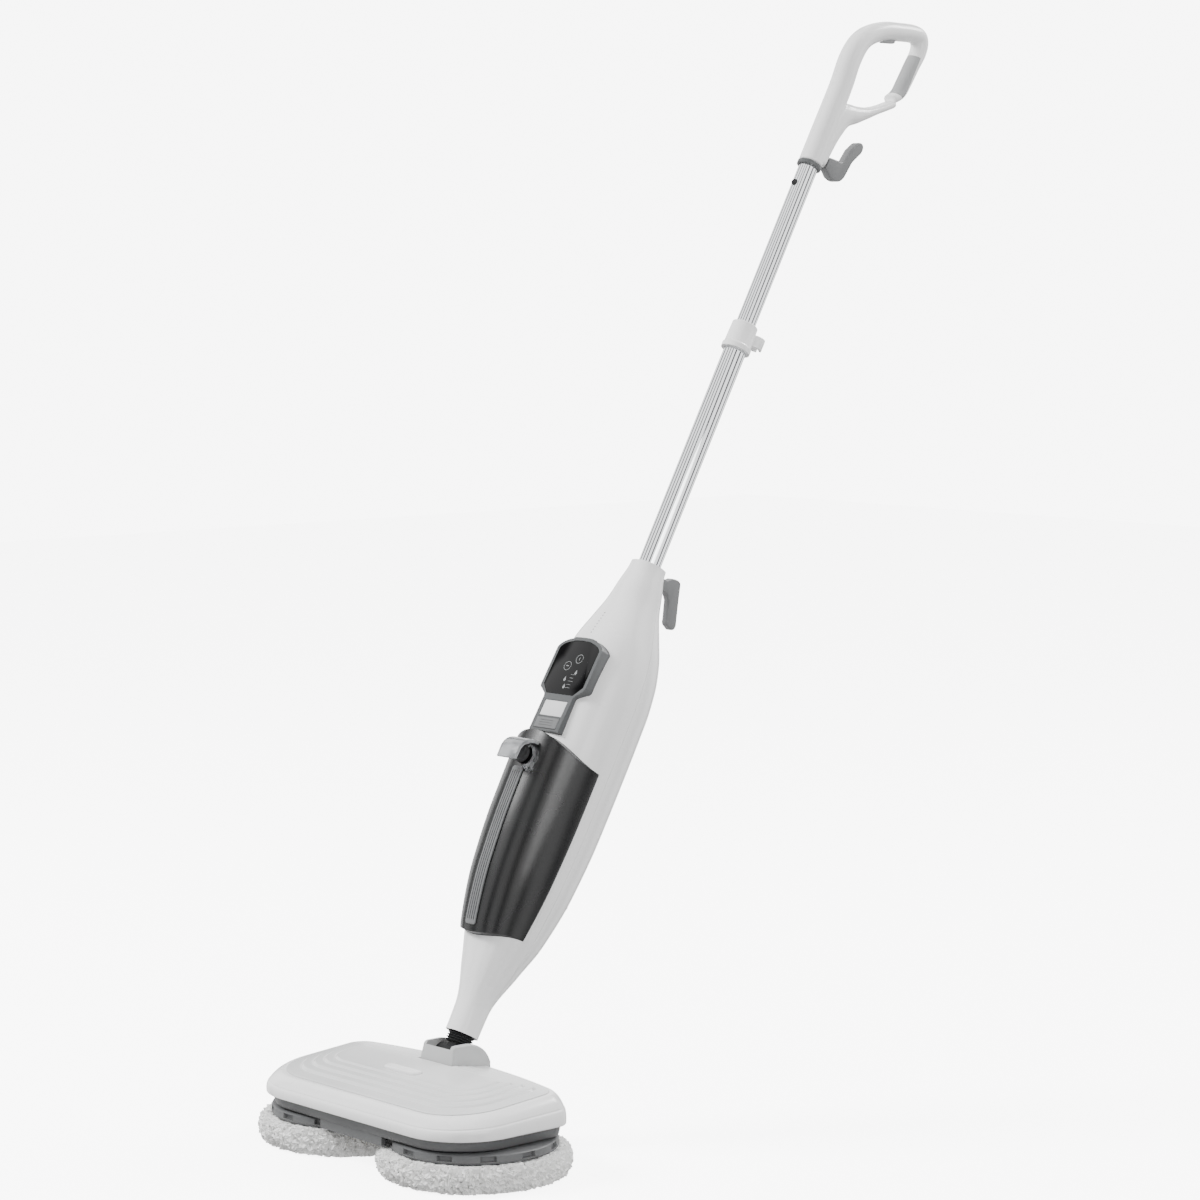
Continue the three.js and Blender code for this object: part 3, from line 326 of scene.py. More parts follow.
def moulded(name, pale, dark, rough, grain, depth, patch=45, **shader):
    """A moulded or cast surface: two close tones in soft patches, and a fine even grain.
    The grain and the patches are real sizes in millimetres, the depth is in micrometres."""
    made = bpy.data.materials.new(name)
    made.use_nodes = True
    tree = made.node_tree
    face = tree.nodes["Principled BSDF"]
    spot = add(tree, "ShaderNodeTexCoord").outputs["Object"]
    cloud = add(tree, "ShaderNodeTexNoise", {"Vector": spot, "Scale": 1000 / patch, "Detail": 3.0})
    tones = add(
        tree, "ShaderNodeMix", {0: cloud.outputs["Fac"], 6: tint(pale), 7: tint(dark)}, data_type="RGBA"
    )
    tree.links.new(tones.outputs[2], face.inputs["Base Color"])
    wear = add(
        tree, "ShaderNodeMapRange",
        {"Value": cloud.outputs["Fac"], "To Min": rough * 0.8, "To Max": rough * 1.25}
    )
    tree.links.new(wear.outputs["Result"], face.inputs["Roughness"])
    fine = add(tree, "ShaderNodeTexNoise", {"Vector": spot, "Scale": 1000 / grain, "Detail": 2.0})
    bump = add(
        tree, "ShaderNodeBump", {"Height": fine.outputs["Fac"], "Distance": depth * 1e-6, "Strength": 0.6}
    )
    tree.links.new(bump.outputs["Normal"], face.inputs["Normal"])
    for key, value in shader.items():
        face.inputs[key.replace("_", " ")].default_value = value
    return made


# Gloss ABS, injection moulded: near-white, soft highlights, a trace of orange peel.
white_abs = moulded(
    "white_gloss_abs", "#f3f3f3", "#eeeeee", 0.26, 5.0, 4, IOR=1.54, Coat_Weight=0.15, Coat_Roughness=0.12
)
# The same ABS tinted pale grey for the head's top and the small insert.
pale_abs = moulded(
    "pale_grey_abs", "#dcdddd", "#d3d4d4", 0.24, 4.0, 5, IOR=1.54, Coat_Weight=0.2, Coat_Roughness=0.08
)
# Light grey ABS from a satin tool: broad soft highlights.
bracket_grey = moulded("light_grey_satin_abs", "#b6b7b7", "#adaeae", 0.38, 1.2, 18, IOR=1.53)
# Mid grey polypropylene underside, spark-eroded tool: dull and finely pitted.
mid_grey = moulded("mid_grey_polypropylene", "#5e5f60", "#565758", 0.5, 1.0, 30, IOR=1.49)
# Grey trim with a fine satin, a little glossier at its edges.
bezel_grey = moulded("grey_satin_trim", "#505253", "#494b4c", 0.34, 0.9, 12, IOR=1.53)
# Nylon-filled grey for hooks, latch and trigger: tough, waxy sheen.
hook_grey = moulded("grey_tough_nylon", "#6f7071", "#666768", 0.42, 1.5, 20, IOR=1.53)
# Soft-touch elastomer over the grip: matt, with a powdery edge light.
grip_grey = moulded(
    "soft_grip_elastomer", "#a3a4a5", "#999a9b", 0.68, 0.8, 30, IOR=1.5, Sheen_Weight=0.15,
    Sheen_Roughness=0.5
)
# Black acrylic window, polished: deep black, with only a weak reflection; the same black is painted on the
# front shell as the shade in the vent holes.
gloss_black = moulded(
    "black_acrylic_and_vent_shade", "#060607", "#09090a", 0.08, 8.0, 1, IOR=1.49, Specular_IOR_Level=0.2
)
# Moulded black rubber: dull, slightly pitted.
black_rubber = moulded("black_moulded_rubber", "#1c1d1e", "#141516", 0.72, 1.2, 40, IOR=1.52)
# Smoke-tinted clear plastic: nearly black, faintly see-through, with a soft sheen.
smoky = moulded(
    "smoke_tinted_clear_plastic", "#17181a", "#111213", 0.26, 12.0, 1, IOR=1.57, Transmission_Weight=0.5,
    Specular_IOR_Level=0.2
)
# The lip is the same plastic in a thin section, so that it looks much paler.
lip_smoke = moulded(
    "pale_smoke_thin_plastic", "#b4b6b8", "#a9abad", 0.08, 9.0, 1, IOR=1.57, Transmission_Weight=0.6
)
# Chrome plate on drawn steel tube: bright mirror with a faint lengthwise draw.
chrome = moulded("chrome_plated_tube", "#eceef0", "#e2e4e6", 0.07, 2.0, 1, Metallic=1.0)
# Turned steel, plain.
steel = moulded("plain_turned_steel", "#b9bbbd", "#a9abad", 0.32, 0.6, 10, Metallic=1.0)
# Turned brass, left bare.
brass = moulded("turned_brass", "#c9a862", "#b8954f", 0.3, 0.6, 10, Metallic=1.0)
# Die-cast aluminium, as cast: grey and grainy.
aluminium = moulded("cast_aluminium", "#babdc0", "#a6a9ac", 0.5, 0.8, 60, Metallic=1.0)
# Solder mask over glass-fibre board.
board_green = moulded("green_solder_mask", "#1f5e3c", "#184d31", 0.3, 1.0, 20, patch=6, IOR=1.5)
# Natural nylon: creamy and waxy.
nylon = moulded("natural_nylon", "#e8e3d4", "#dcd6c4", 0.48, 1.5, 20, IOR=1.53)
# Pale printed symbols on the window: flat ink.
print_white = moulded("white_screen_print", "#8e9091", "#858788", 0.5, 0.5, 4, patch=3, IOR=1.5)
# Microfibre pile, knitted polyester: bright white, soft edge light, and a darker tone in soft patches that is
# painted shade between the tufts.
microfibre = moulded(
    "white_microfibre_pile", "#fbfbfa", "#e6e6e4", 0.9, 1.4, 500, patch=7, Sheen_Weight=0.5,
    Sheen_Roughness=0.4, IOR=1.45
)

# ---------------------------------------------------------------- head
GAP, WALL = 0.3, 2.4
COVER_BOTTOM, COVER_TOP, COVER_HALF_WIDTH, COVER_HALF_DEPTH = 45, 68.5, 154, 79
FRONT_CORNER, REAR_CORNER, REAR_SWEEP, TOP_SLOPE = 60, 20, 0.28, 0.08
COVER_TAPER, PANEL_MARGIN, PANEL_RISE, CHASSIS_BOTTOM, CHASSIS_INSET = 13, 3, 9.5, 34.5, 5
PEDAL_Y, PEDAL_HALF_LENGTH, PEDAL_HALF_WIDTH = -11, 23.5, 5.5
BRACKET_HALF_WIDTH, BRACKET_FRONT, BRACKET_BACK, BRACKET_TOP, BRACKET_FOOT = 24, 26, 73, 99, 58
SLOT_HALF_WIDTH, NECK_Y, NECK_Z = 17, 48, 82.5
BRACKET_CREST = 95.5  # the block's rounded top stays a little below its bounding height
PAD_SPACING, PAD_RADIUS, PAD_THICKNESS, DISC_RADIUS, DISC_THICKNESS = 173, 85, 24, 75, 8.5


def head_ring(height, inset, tilt, fine=14):
    """One ring of the head's outline, tilted towards the plane of the flat top."""
    x, y = COVER_HALF_WIDTH - inset, COVER_HALF_DEPTH - inset
    rear = max(REAR_CORNER - inset * 0.3, 4)
    front = min(FRONT_CORNER - inset * 0.6, 2 * y - rear - 0.4)
    points = []

    def corner(cx, cy, radius, quarter):
        for i in range(fine + 1):
            a = math.pi / 2 * (quarter + i / fine)
            points.append((cx + radius * math.cos(a), cy + radius * math.sin(a)))

    corner(x - rear, y - rear, rear, 0)
    points.extend(((x - rear) * s, y) for s in spread(1, -1, 24)[1:-1])
    corner(rear - x, y - rear, rear, 1)
    corner(front - x, front - y, front, 2)
    corner(x - front, front - y, front, 3)
    ring = []
    for px, py in points:
        swept = py * (1 - REAR_SWEEP * (px / COVER_HALF_WIDTH) ** 2) if py > 0 else py
        ring.append((px, swept, height + tilt * TOP_SLOPE * swept))
    return ring


def head_loft(name, levels, inset=0):
    return loft(name, [head_ring(height, step + inset, tilt) for height, step, tilt in levels])


def bracket_hole(gap):
    low = (-BRACKET_HALF_WIDTH - gap, BRACKET_FRONT - gap, BRACKET_FOOT - 5)
    return box("hole", low, (BRACKET_HALF_WIDTH + gap, BRACKET_BACK + gap, BRACKET_TOP + 5))


def pedal_hole():
    shape = rounded(PEDAL_HALF_LENGTH + GAP, PEDAL_HALF_WIDTH + GAP, PEDAL_HALF_WIDTH + GAP)
    return slab("hole", [(x, y + PEDAL_Y) for x, y in shape], 50, 95, "plan")


rise = COVER_TOP - COVER_BOTTOM
# share of the rise, share of the taper: upright band, a soft crease, then the shoulder
cover_side = [
    (0.0, 0.05), (0.02, 0.01), (0.06, 0.0), (0.2, 0.0), (0.34, 0.02), (0.45, 0.07), (0.5, 0.12),
    (0.52, 0.17), (0.545, 0.2), (0.57, 0.2), (0.6, 0.23), (0.66, 0.3), (0.73, 0.39), (0.8, 0.49),
    (0.86, 0.6), (0.91, 0.71), (0.95, 0.82), (0.98, 0.91), (1.0, 1.0), (1.0, 1.15),
]
outside = [(COVER_BOTTOM + rise * up, COVER_TAPER * inwards, up) for up, inwards in cover_side]
hollow = [(COVER_BOTTOM - 1, 0, 0)]
hollow += [
    (COVER_BOTTOM + rise * up - WALL, COVER_TAPER * min(inwards, 1), up) for up, inwards in cover_side[6:-1]
]
cover = head_loft("cover_shell", outside)
join(cover, head_loft("inside", hollow, WALL))
join(cover, bracket_hole(GAP))
join(cover, pedal_hole())
fit(cover, HEAD, "head", white_abs, ["head_cover"], 40)

# The top panel is a low dome in curved terraces, with a rounded rim.
PANEL_LIP = 0.4  # upright foot of its rim
terraces = [(13, 1.5), (22, 1.3), (31, 1.1), (40, 0.9)]


def panel_height(inwards):
    dome = PANEL_RISE * (1 - (1 - min(inwards / 50, 1)) ** 1.8)
    lift = 0.0
    for place, step in terraces:
        lift += step * (1 / (1 + math.exp(-(inwards - place) / 0.35)) - 1)
        lift -= 0.55 * math.exp(-(((inwards - place + 1.3) / 0.55) ** 2))  # fine groove at its foot
    rim = 1.6 * (min(inwards / 1.6, 1) ** 0.5 - 1) if inwards < 1.6 else 0
    total = sum(step for _, step in terraces)
    return max(dome * (1 - total / PANEL_RISE) + total + lift + rim, 0.0)


insets = [0, 0.1, 0.3, 0.6, 1, 1.5, 2.2, 3.2, 5, 7, 9, 10.5]
for place, _ in terraces:
    insets += [
        place + o
        for o in (-3, -2.4, -2, -1.7, -1.4, -1.2, -1, -0.7, -0.4, -0.2, 0, 0.2, 0.4, 0.7, 1.0, 1.6, 3, 5)
    ]
insets += [47, 49, 51]
panel_foot, panel_inset = COVER_TOP + GAP, COVER_TAPER + PANEL_MARGIN
levels = [(panel_foot, panel_inset, 1)]
for i in sorted(insets):
    above = PANEL_LIP + panel_height(i) * (PANEL_RISE - PANEL_LIP) / PANEL_RISE
    levels.append((panel_foot + above, panel_inset + i, 1))
top_panel = head_loft("terraced_top", levels)
join(top_panel, bracket_hole(GAP))
join(top_panel, pedal_hole())
fit(top_panel, HEAD, "head", pale_abs, ["head_top_panel"], 50)

pedal_top = COVER_TOP + TOP_SLOPE * PEDAL_Y + GAP + PANEL_RISE + 2.5
pedal_rings = []
for up, inwards in (
    (-18, 2.5), (-5, 2.5), (-5, 0.3), (-4.7, 0), (-1.6, 0), (-0.9, 0.25), (-0.4, 0.8), (-0.1, 1.7), (0, 2.8)
):
    half = PEDAL_HALF_WIDTH - inwards
    shape = rounded(PEDAL_HALF_LENGTH - inwards, half, half * 0.999, 16)
    pedal_rings.append([(x, y + PEDAL_Y, pedal_top + up) for x, y in shape])
fit(loft("pedal_cap", pedal_rings), HEAD, "pedal", white_abs, ["foot_pedal"], 50)

tray = head_loft(
    "chassis_tray",
    [
        (CHASSIS_BOTTOM, 3.2, 0), (CHASSIS_BOTTOM + 0.4, 2.4, 0), (CHASSIS_BOTTOM + 1.4, 1.8, 0),
        (COVER_BOTTOM - GAP, 0, 0)
    ],
    CHASSIS_INSET
)
join(tray, head_loft("inside", [(CHASSIS_BOTTOM + 3, 0, 0), (COVER_BOTTOM + 1, 0, 0)], CHASSIS_INSET + 3))
keel = box(
    "keel", (-44, -COVER_HALF_DEPTH + 8, CHASSIS_BOTTOM - 8), (44, COVER_HALF_DEPTH - 24, CHASSIS_BOTTOM + 1)
)
for side in (-1, 1):
    join(
        keel,
        rod(
            "trim", DISC_RADIUS + 3, CHASSIS_BOTTOM - 12, CHASSIS_BOTTOM + 0.1, (side * PAD_SPACING / 2, 0),
            128
        )
    )
join(tray, keel, "UNION")
for side in (-1, 1):
    join(tray, rod("bore", 8.3, CHASSIS_BOTTOM - 5, CHASSIS_BOTTOM + 15, (side * PAD_SPACING / 2, 0)))
join(tray, rod("bore", 6.3, CHASSIS_BOTTOM - 12, CHASSIS_BOTTOM + 18, (0, -COVER_HALF_DEPTH + 22)))
fit(tray, HEAD, "head", mid_grey, ["head_chassis"])

bracket_side = outline(
    (BRACKET_FRONT, BRACKET_FOOT), (BRACKET_FRONT, 74), (BRACKET_FRONT + 4, BRACKET_CREST - 3),
    (BRACKET_FRONT + 5, BRACKET_CREST, BRACKET_FRONT + 8, BRACKET_CREST),
    (BRACKET_FRONT + 22, BRACKET_CREST), (
        BRACKET_BACK - 5, BRACKET_CREST - 2, BRACKET_BACK, COVER_TOP + 8
    ), (BRACKET_BACK, BRACKET_FOOT),
)
bracket = slab("pivot_bracket", bracket_side, -BRACKET_HALF_WIDTH, BRACKET_HALF_WIDTH, "side")
for vertex in bracket.data.vertices:  # its cheeks draw in towards the top
    vertex.co.x *= 1 - 0.1 * max(vertex.co.z - 74, 0) / (BRACKET_CREST - 74)
soften(bracket, 2.0, 4, 40)
join(
    bracket,
    box(
        "slot", (-SLOT_HALF_WIDTH, BRACKET_FRONT + 4, NECK_Z - 11),
        (SLOT_HALF_WIDTH, BRACKET_BACK + 5, BRACKET_TOP + 5)
    )
)
join(bracket, rod("bore", 3.3, -22, 22, (NECK_Y, NECK_Z), 48, "side"))
fit(bracket, HEAD, "head", bracket_grey, ["neck_bracket"])

# ---------------------------------------------------------------- pads and discs
PAD_ROLL = 9
PAD_FLAT = PAD_RADIUS - 3 - PAD_ROLL  # radius where the rounded side begins; the pile adds the last 3
pad_edge = [(PAD_FLAT * s, 1.5) for s in spread(0.02, 1, 24)]
for a in spread(-90, 90, 20):
    t = math.radians(a)
    pad_edge.append(
        (PAD_FLAT + PAD_ROLL * math.cos(t), PAD_THICKNESS / 2 + (PAD_THICKNESS / 2 - 1.5) * math.sin(t))
    )
pad_edge += [(PAD_FLAT * s, PAD_THICKNESS - 1.5) for s in spread(1, 0.02, 24)]


def pile_tree(finish):
    """Short curled tufts of pile over the sides and underside of a pad."""
    tree = bpy.data.node_groups.new("pad_pile", "GeometryNodeTree")
    face = tree.interface
    face.new_socket("Pad", in_out="INPUT", socket_type="NodeSocketGeometry")
    for name, value in (("Tufts per square millimetre", 0.22), ("Tuft length", 3.4)):
        face.new_socket(name, in_out="INPUT", socket_type="NodeSocketFloat").default_value = value
    face.new_socket("Pad", in_out="OUTPUT", socket_type="NodeSocketGeometry")
    given = add(tree, "NodeGroupInput")
    result = add(tree, "NodeGroupOutput")
    place = add(tree, "GeometryNodeInputPosition")
    height = add(tree, "ShaderNodeSeparateXYZ", {0: place.outputs[0]})
    below = add(
        tree, "FunctionNodeCompare", {0: height.outputs["Z"], 1: PAD_THICKNESS - 2.0}, operation="LESS_THAN",
        data_type="FLOAT"
    )
    spots = add(
        tree, "GeometryNodeDistributePointsOnFaces",
        {"Mesh": given.outputs[0], "Selection": below.outputs[0], "Density": given.outputs[1], "Seed": 7}
    )
    line = add(
        tree, "GeometryNodeCurvePrimitiveBezierSegment",
        {
            "Start": (0, 0, -0.6), "Start Handle": (0.0, 0.1, 0.2), "End Handle": (0.5, 0.1, 0.7),
            "End": (0.28, -0.1, 1.0), "Resolution": 4
        }
    )
    girth = add(tree, "GeometryNodeCurvePrimitiveCircle", {"Resolution": 4, "Radius": 1.0})
    taper = add(tree, "GeometryNodeSplineParameter")
    thin = add(tree, "ShaderNodeMapRange", {"Value": taper.outputs["Factor"], "To Min": 0.16, "To Max": 0.05})
    shaped = add(
        tree, "GeometryNodeSetCurveRadius", {"Curve": line.outputs[0], "Radius": thin.outputs["Result"]}
    )
    tuft = add(
        tree, "GeometryNodeCurveToMesh",
        {"Curve": shaped.outputs[0], "Profile Curve": girth.outputs[0], "Fill Caps": True}
    )
    spin = add(
        tree, "FunctionNodeRandomValue", {"Max": (0.5, 0.5, 6.283), "Seed": 3}, data_type="FLOAT_VECTOR"
    )
    spin.inputs[0].default_value = (-0.5, -0.5, 0.0)
    lean = add(
        tree, "FunctionNodeRotateRotation",
        {"Rotation": spots.outputs["Rotation"], "Rotate By": spin.outputs[0]}, rotation_space="LOCAL"
    )
    vary = add(tree, "FunctionNodeRandomValue", {2: 0.7, 3: 1.15, "Seed": 5}, data_type="FLOAT")
    long = add(tree, "ShaderNodeMath", {0: vary.outputs[1], 1: given.outputs[2]}, operation="MULTIPLY")
    size = add(tree, "ShaderNodeCombineXYZ", {0: long.outputs[0], 1: long.outputs[0], 2: long.outputs[0]})
    copies = add(
        tree, "GeometryNodeInstanceOnPoints",
        {
            "Points": spots.outputs[0], "Instance": tuft.outputs[0], "Rotation": lean.outputs[0],
            "Scale": size.outputs[0]
        }
    )
    loose = add(tree, "GeometryNodeRealizeInstances", {0: copies.outputs[0]})
    both = add(tree, "GeometryNodeJoinGeometry")
    tree.links.new(given.outputs[0], both.inputs[0])
    tree.links.new(loose.outputs[0], both.inputs[0])
    dyed = add(tree, "GeometryNodeSetMaterial", {"Geometry": both.outputs[0], "Material": finish})
    tree.links.new(dyed.outputs[0], result.inputs[0])
    return tree


pile = pile_tree(microfibre)
inputs = {item.name: item.identifier for item in pile.interface.items_tree if item.in_out == "INPUT"}
for side, name in ((-1, "left"), (1, "right")):
    centre = (side * PAD_SPACING / 2, 0)
    pad = turned(f"{name}_pad_fleece", pad_edge, centre, 260)
    for vertex in pad.data.vertices:
        p = vertex.co
        out = Vector((p.x - centre[0], p.y, 0))
        reach = min(out.length / PAD_RADIUS, 1)
        lump = 0.9 * noise.noise(p / 16) + 0.5 * noise.noise(p / 5 + Vector((side, 9, 4)))
        if out.length > 1:
            vertex.co = p + out.normalized() * (lump * reach**4)
        vertex.co.z = min(max(vertex.co.z + 0.5 * noise.noise(p / 7), 1.0), PAD_THICKNESS - 1.2)
    tufts = pad.modifiers.new("pile", "NODES")
    tufts.node_group = pile
    tufts[inputs["Tufts per square millimetre"]] = 0.22
    tufts[inputs["Tuft length"]] = 3.4
    settle(pad)
    for vertex in pad.data.vertices:
        vertex.co.z = min(max(vertex.co.z, 0.0), PAD_THICKNESS + 0.2)
    fit(pad, HEAD, f"{name}_rotor", microfibre, [f"{name}_mop_pad"], 60)

    foot = PAD_THICKNESS + GAP
    rings = []
    for height, inwards, notch in (
        (0, 1.2, 0), (0.4, 0.4, 0), (1.2, 0, 0), (2.6, 0, 0), (2.7, 0, 1), (7.2, 0.4, 1), (7.3, 0.4, 0),
        (8.0, 0.9, 0), (8.5, 2, 0)
    ):
        ring = []
        for i in range(360):
            a = math.radians(i)
            deep = 3.0 * notch if (i + 5) % 30 < 10 else 0.0
            radius = DISC_RADIUS - inwards - deep
            ring.append((centre[0] + radius * math.cos(a), radius * math.sin(a), foot + height))
        rings.append(ring)
    disc = loft(f"{name}_notched_disc", rings)
    join(disc, rod("socket", 5.3, foot + 3, foot + 12, centre))
    fit(disc, HEAD, f"{name}_rotor", mid_grey, [f"{name}_pad_disc"])

# ---------------------------------------------------------------- neck
ribs = [(9.7, 10.3)]
for k in range(4):
    for t in range(8):
        ribs.append(
            (11.6 + 1.0 * math.sin(2 * math.pi * t / 8 - math.pi / 2), 10.3 + (9.3 / 4) * (k + t / 8))
        )
ribs += [(10.6, 19.7), (9.7, 19.7)]
sleeve = turned("neck_sleeve", ribs, sides=96)
join(sleeve, rod("bore", 9.2, 0, 30))
fit(sleeve, STICK, "neck", black_rubber, ["neck_boot"])

# ---------------------------------------------------------------- body
BODY_BOTTOM, BODY_TOP, BODY_HALF_WIDTH = 20, 494, 47.5
SHELL_FRONT, SHELL_REAR, SEAM, TANK_FRONT, TANK_BACK = 42, 52, 9.5, 56, -3
TANK_BOTTOM, TANK_TOP, TANK_ARCH, TANK_CUP, TANK_WALL = 107, 301, 18, 16, 2
PANEL_TOP, PANEL_WAIST, PANEL_BOTTOM = 401, 338, 304
BEZEL_FRONT, BEZEL_SLOPE = 45.5, 5 / 97
VALVE_HEIGHT, FILLER_HEIGHT, LIP_HEIGHT, GLAND_HEIGHT = 134, 275, 290, 350
TUBE_RADIUS, UPPER_RADIUS, TUBE_WALL, HANDLE_BOTTOM = 11, 9.5, 0.8, 930
LOWER_TUBE, UPPER_TUBE, SNAP_HEIGHT = (440, 739), (539, 979.7), 904  # ends of each tube, and the snap pin
swell = through(
    [
        (0, 0), (0.05, 0.015), (0.143, 0.36), (0.21, 0.64), (0.327, 0.892), (0.45, 0.985), (0.593, 1),
        (0.7, 0.99), (0.762, 0.925), (0.816, 0.77), (0.867, 0.51), (0.913, 0.27), (0.949, 0.155), (1, 0),
    ]
)


def body_ring(height, inset, front, sides=96):
    share = (height - BODY_BOTTOM) / (BODY_TOP - BODY_BOTTOM)
    end = 15 if share < 0.5 else 16.5
    grown = lambda full: end + (full - end) * swell(share) - inset
    squared = lambda c: math.copysign(abs(c) ** (2 / 2.3), c)
    ring = []
    for i in range(sides):
        a = 2 * math.pi * i / sides
        depth = grown(front) if math.sin(a) < 0 else grown(SHELL_REAR)
        ring.append((grown(BODY_HALF_WIDTH) * squared(math.cos(a)), depth * squared(math.sin(a)), height))
    return ring


def body_loft(name, inset, front=SHELL_FRONT, low=BODY_BOTTOM, high=BODY_TOP, count=110):
    return loft(name, [body_ring(h, inset, front) for h in spread(low, high, count)])


def tank_outline(grow):
    x = BODY_HALF_WIDTH + 12
    arch, cup = TANK_ARCH * (x / BODY_HALF_WIDTH) ** 2, TANK_CUP * (x / BODY_HALF_WIDTH) ** 2
    foot, top = TANK_BOTTOM - grow, TANK_TOP + grow
    shape = [(-x + 2 * x * i / 40, 0) for i in range(41)]
    low = [(px, foot + cup * (px / x) ** 2) for px, _ in shape]
    high = [(px, top - arch * (px / x) ** 2) for px, _ in reversed(shape)]
    return low + high


def bezel_outline(grow):
    wide, neck, top, foot = 31 + grow, 20 + grow, PANEL_TOP + grow, PANEL_BOTTOM - grow
    half = outline(
        (neck, foot), (neck, PANEL_WAIST), (
            neck, PANEL_WAIST + 3, neck + 4, PANEL_WAIST + 5
        ), (wide - 3, PANEL_WAIST + 8),
        (
            wide, PANEL_WAIST + 9, wide, PANEL_WAIST + 13
        ), (wide, top - 12), (wide - 4, top - 4, wide - 18, top - 1.5), (wide / 2, top, 0, top),
    )
    return half + [(-x, y) for x, y in reversed(half[:-1])]


def window_outline(grow):
    wide, top, foot = 27 + grow, PANEL_TOP - 4 + grow, PANEL_WAIST + 4 - grow
    half = outline(
        (wide - 9, foot), (wide, foot + 9), (wide, top - 9), (wide - 3, top - 3, wide - 15, top - 1),
        (wide / 2, top, 0, top + 0.4)
    )
    return half + [(-x, y) for x, y in reversed(half[:-1])]


def oblong(half, low, high, corner=0.8):
    middle, reach = (low + high) / 2, (high - low) / 2
    return [(x, y + middle) for x, y in rounded(half, reach, corner, 5)]


def bezel_layer(low, high):
    """A layer parallel to the bezel's sloping face, between two depths behind it."""
    made = box("layer", (-70, low, -200), (70, high, 200))
    turn = Matrix.Translation(
        (0, -BEZEL_FRONT, PANEL_BOTTOM)
    ) @ Matrix.Rotation(-math.atan(BEZEL_SLOPE), 4, "X")
    made.data.transform(turn)
    return made


def laid(x, height):
    """Lays an upright shape along the line from front to back, at a height on the pole."""
    return Matrix.Translation((x, 0, height)) @ Matrix.Rotation(math.radians(-90), 4, "X")


def valve_bore(radius, low, high):
    made = turned("bore", [(radius, low), (radius, high)], sides=48)
    made.data.transform(laid(0, VALVE_HEIGHT))
    return made


def peg(name, radius, low, high, x, height, edge=0.0, sides=48):
    """A pin from front to back at a height on the pole."""
    made = rod(name, radius, low, high, (0, 0), sides, "plan", edge)
    made.data.transform(laid(x, height))
    return made


case = body_loft("case", 0)
join(case, body_loft("inside", WALL, low=BODY_BOTTOM - 0.5, high=BODY_TOP - 10))
join(case, rod("bore", TUBE_RADIUS + GAP, LOWER_TUBE[0], 600))
front = twin(case, "front_case")
join(front, box("rear", (-150, SEAM - 0.12, -100), (150, 200, 1300)))
rear = case
rear.name = "rear_case"
join(rear, box("front", (-150, -200, -100), (150, SEAM + 0.12, 1300)))
join(front, slab("bay", tank_outline(GAP), -90, 0))
walls = body_loft("walls", 0.2)
join(walls, slab("around", tank_outline(GAP + WALL), -80, GAP), "INTERSECT")
join(walls, slab("bay", tank_outline(GAP), -90, TANK_BACK + GAP))
join(front, walls, "UNION")
join(front, slab("bay", tank_outline(GAP), -90, TANK_BACK + GAP))
join(front, valve_bore(8.3, TANK_BACK - 2, 2))
join(front, slab("hole", bezel_outline(GAP), -80, -8))
fit(front, STICK, "body", white_abs, ["front_shell"], 40)


def rear_at(height, x=0):
    """How far back the rear shell's surface lies."""
    return min(((abs(px - x), py) for px, py, _ in body_ring(height, 0, SHELL_FRONT) if py > 0))[1]


screws = [(0, 75), (-22, 165), (22, 165), (0, 390)]
for x, height in screws:
    join(rear, peg("well", 3.6, rear_at(height, x) - 12, rear_at(height, x) + 12, x, height))
join(rear, peg("gland", 6.3, rear_at(GLAND_HEIGHT) - 15, rear_at(GLAND_HEIGHT) + 15, 0, GLAND_HEIGHT))
join(rear, box("slot", (-4.3, SEAM, 479.7), (4.3, 60, 492.3)))
fit(rear, STICK, "body", white_abs, ["rear_shell"], 40)

for i, (x, height) in enumerate(screws):
    top = rear_at(height, x) - 2.6
    head = peg(f"case_screw_head_{i + 1}", 3, top - 6.5, top + 1.5, x, height, 0.5)
    for turn in (0, 90):
        slot = box("slot", (-2, -0.35, top + 0.5), (2, 0.35, top + 3))
        slot.data.transform(laid(x, height) @ Matrix.Rotation(math.radians(turn), 4, "Z"))
        join(head, slot)
    fit(head, STICK, "body", steel, [f"case_screw_{i + 1}"])

# Trim round the window: a sloping face with a broad soft edge, and wells for the two inserts.
trim = slab("panel_trim", bezel_outline(0), -70, -26)
join(trim, bezel_layer(0, 40), "INTERSECT")
soften(trim, 1.3, 4, 50)
for shape, depth in (
    (window_outline(GAP), 1.6), (oblong(15.3, 319.2, 335.3), 1.6), (oblong(15.3, 306.2, 317.8), 11)
):
    well = slab("well", shape, -70, -20)
    join(well, bezel_layer(-5, depth), "INTERSECT")
    join(trim, well)
fit(trim, STICK, "body", bezel_grey, ["panel_bezel"])

for name, shape, low, high, edge, body, slot, finish, node_name in (
    ("window_glass", window_outline(0), 0.1, 1.3, 0.3, "body", "gloss_black", gloss_black, "panel_window"),
    ("insert_plate", oblong(15, 319.5, 335), 0.4, 1.3, 0.25, "body", "pale_abs", pale_abs, "bezel_insert"),
    ("latch_button", oblong(15, 306.5, 317.5), -0.6, 7, 0.6, "latch", "hook_grey", hook_grey, "tank_latch"),
):
    made = slab(name, shape, -70, -20)
    join(made, bezel_layer(low, high), "INTERSECT")
    soften(made, edge, 3, 50)
    if name == "latch_button":
        for k in range(3):
            groove = box("groove", (-9, -0.5, -0.25), (9, 0.5, 0.25))
            face = -BEZEL_FRONT + BEZEL_SLOPE * (309.5 + 2.5 * k - PANEL_BOTTOM) - 0.6
            groove.data.transform(Matrix.Translation((0, face, 309.5 + 2.5 * k)))
            join(made, groove)
    fit(made, STICK, body, finish, [node_name])

# Plain symbols printed on the glass: two rings, three drops and short lines.
drawn = []


def ink(points):
    drawn.append(points)


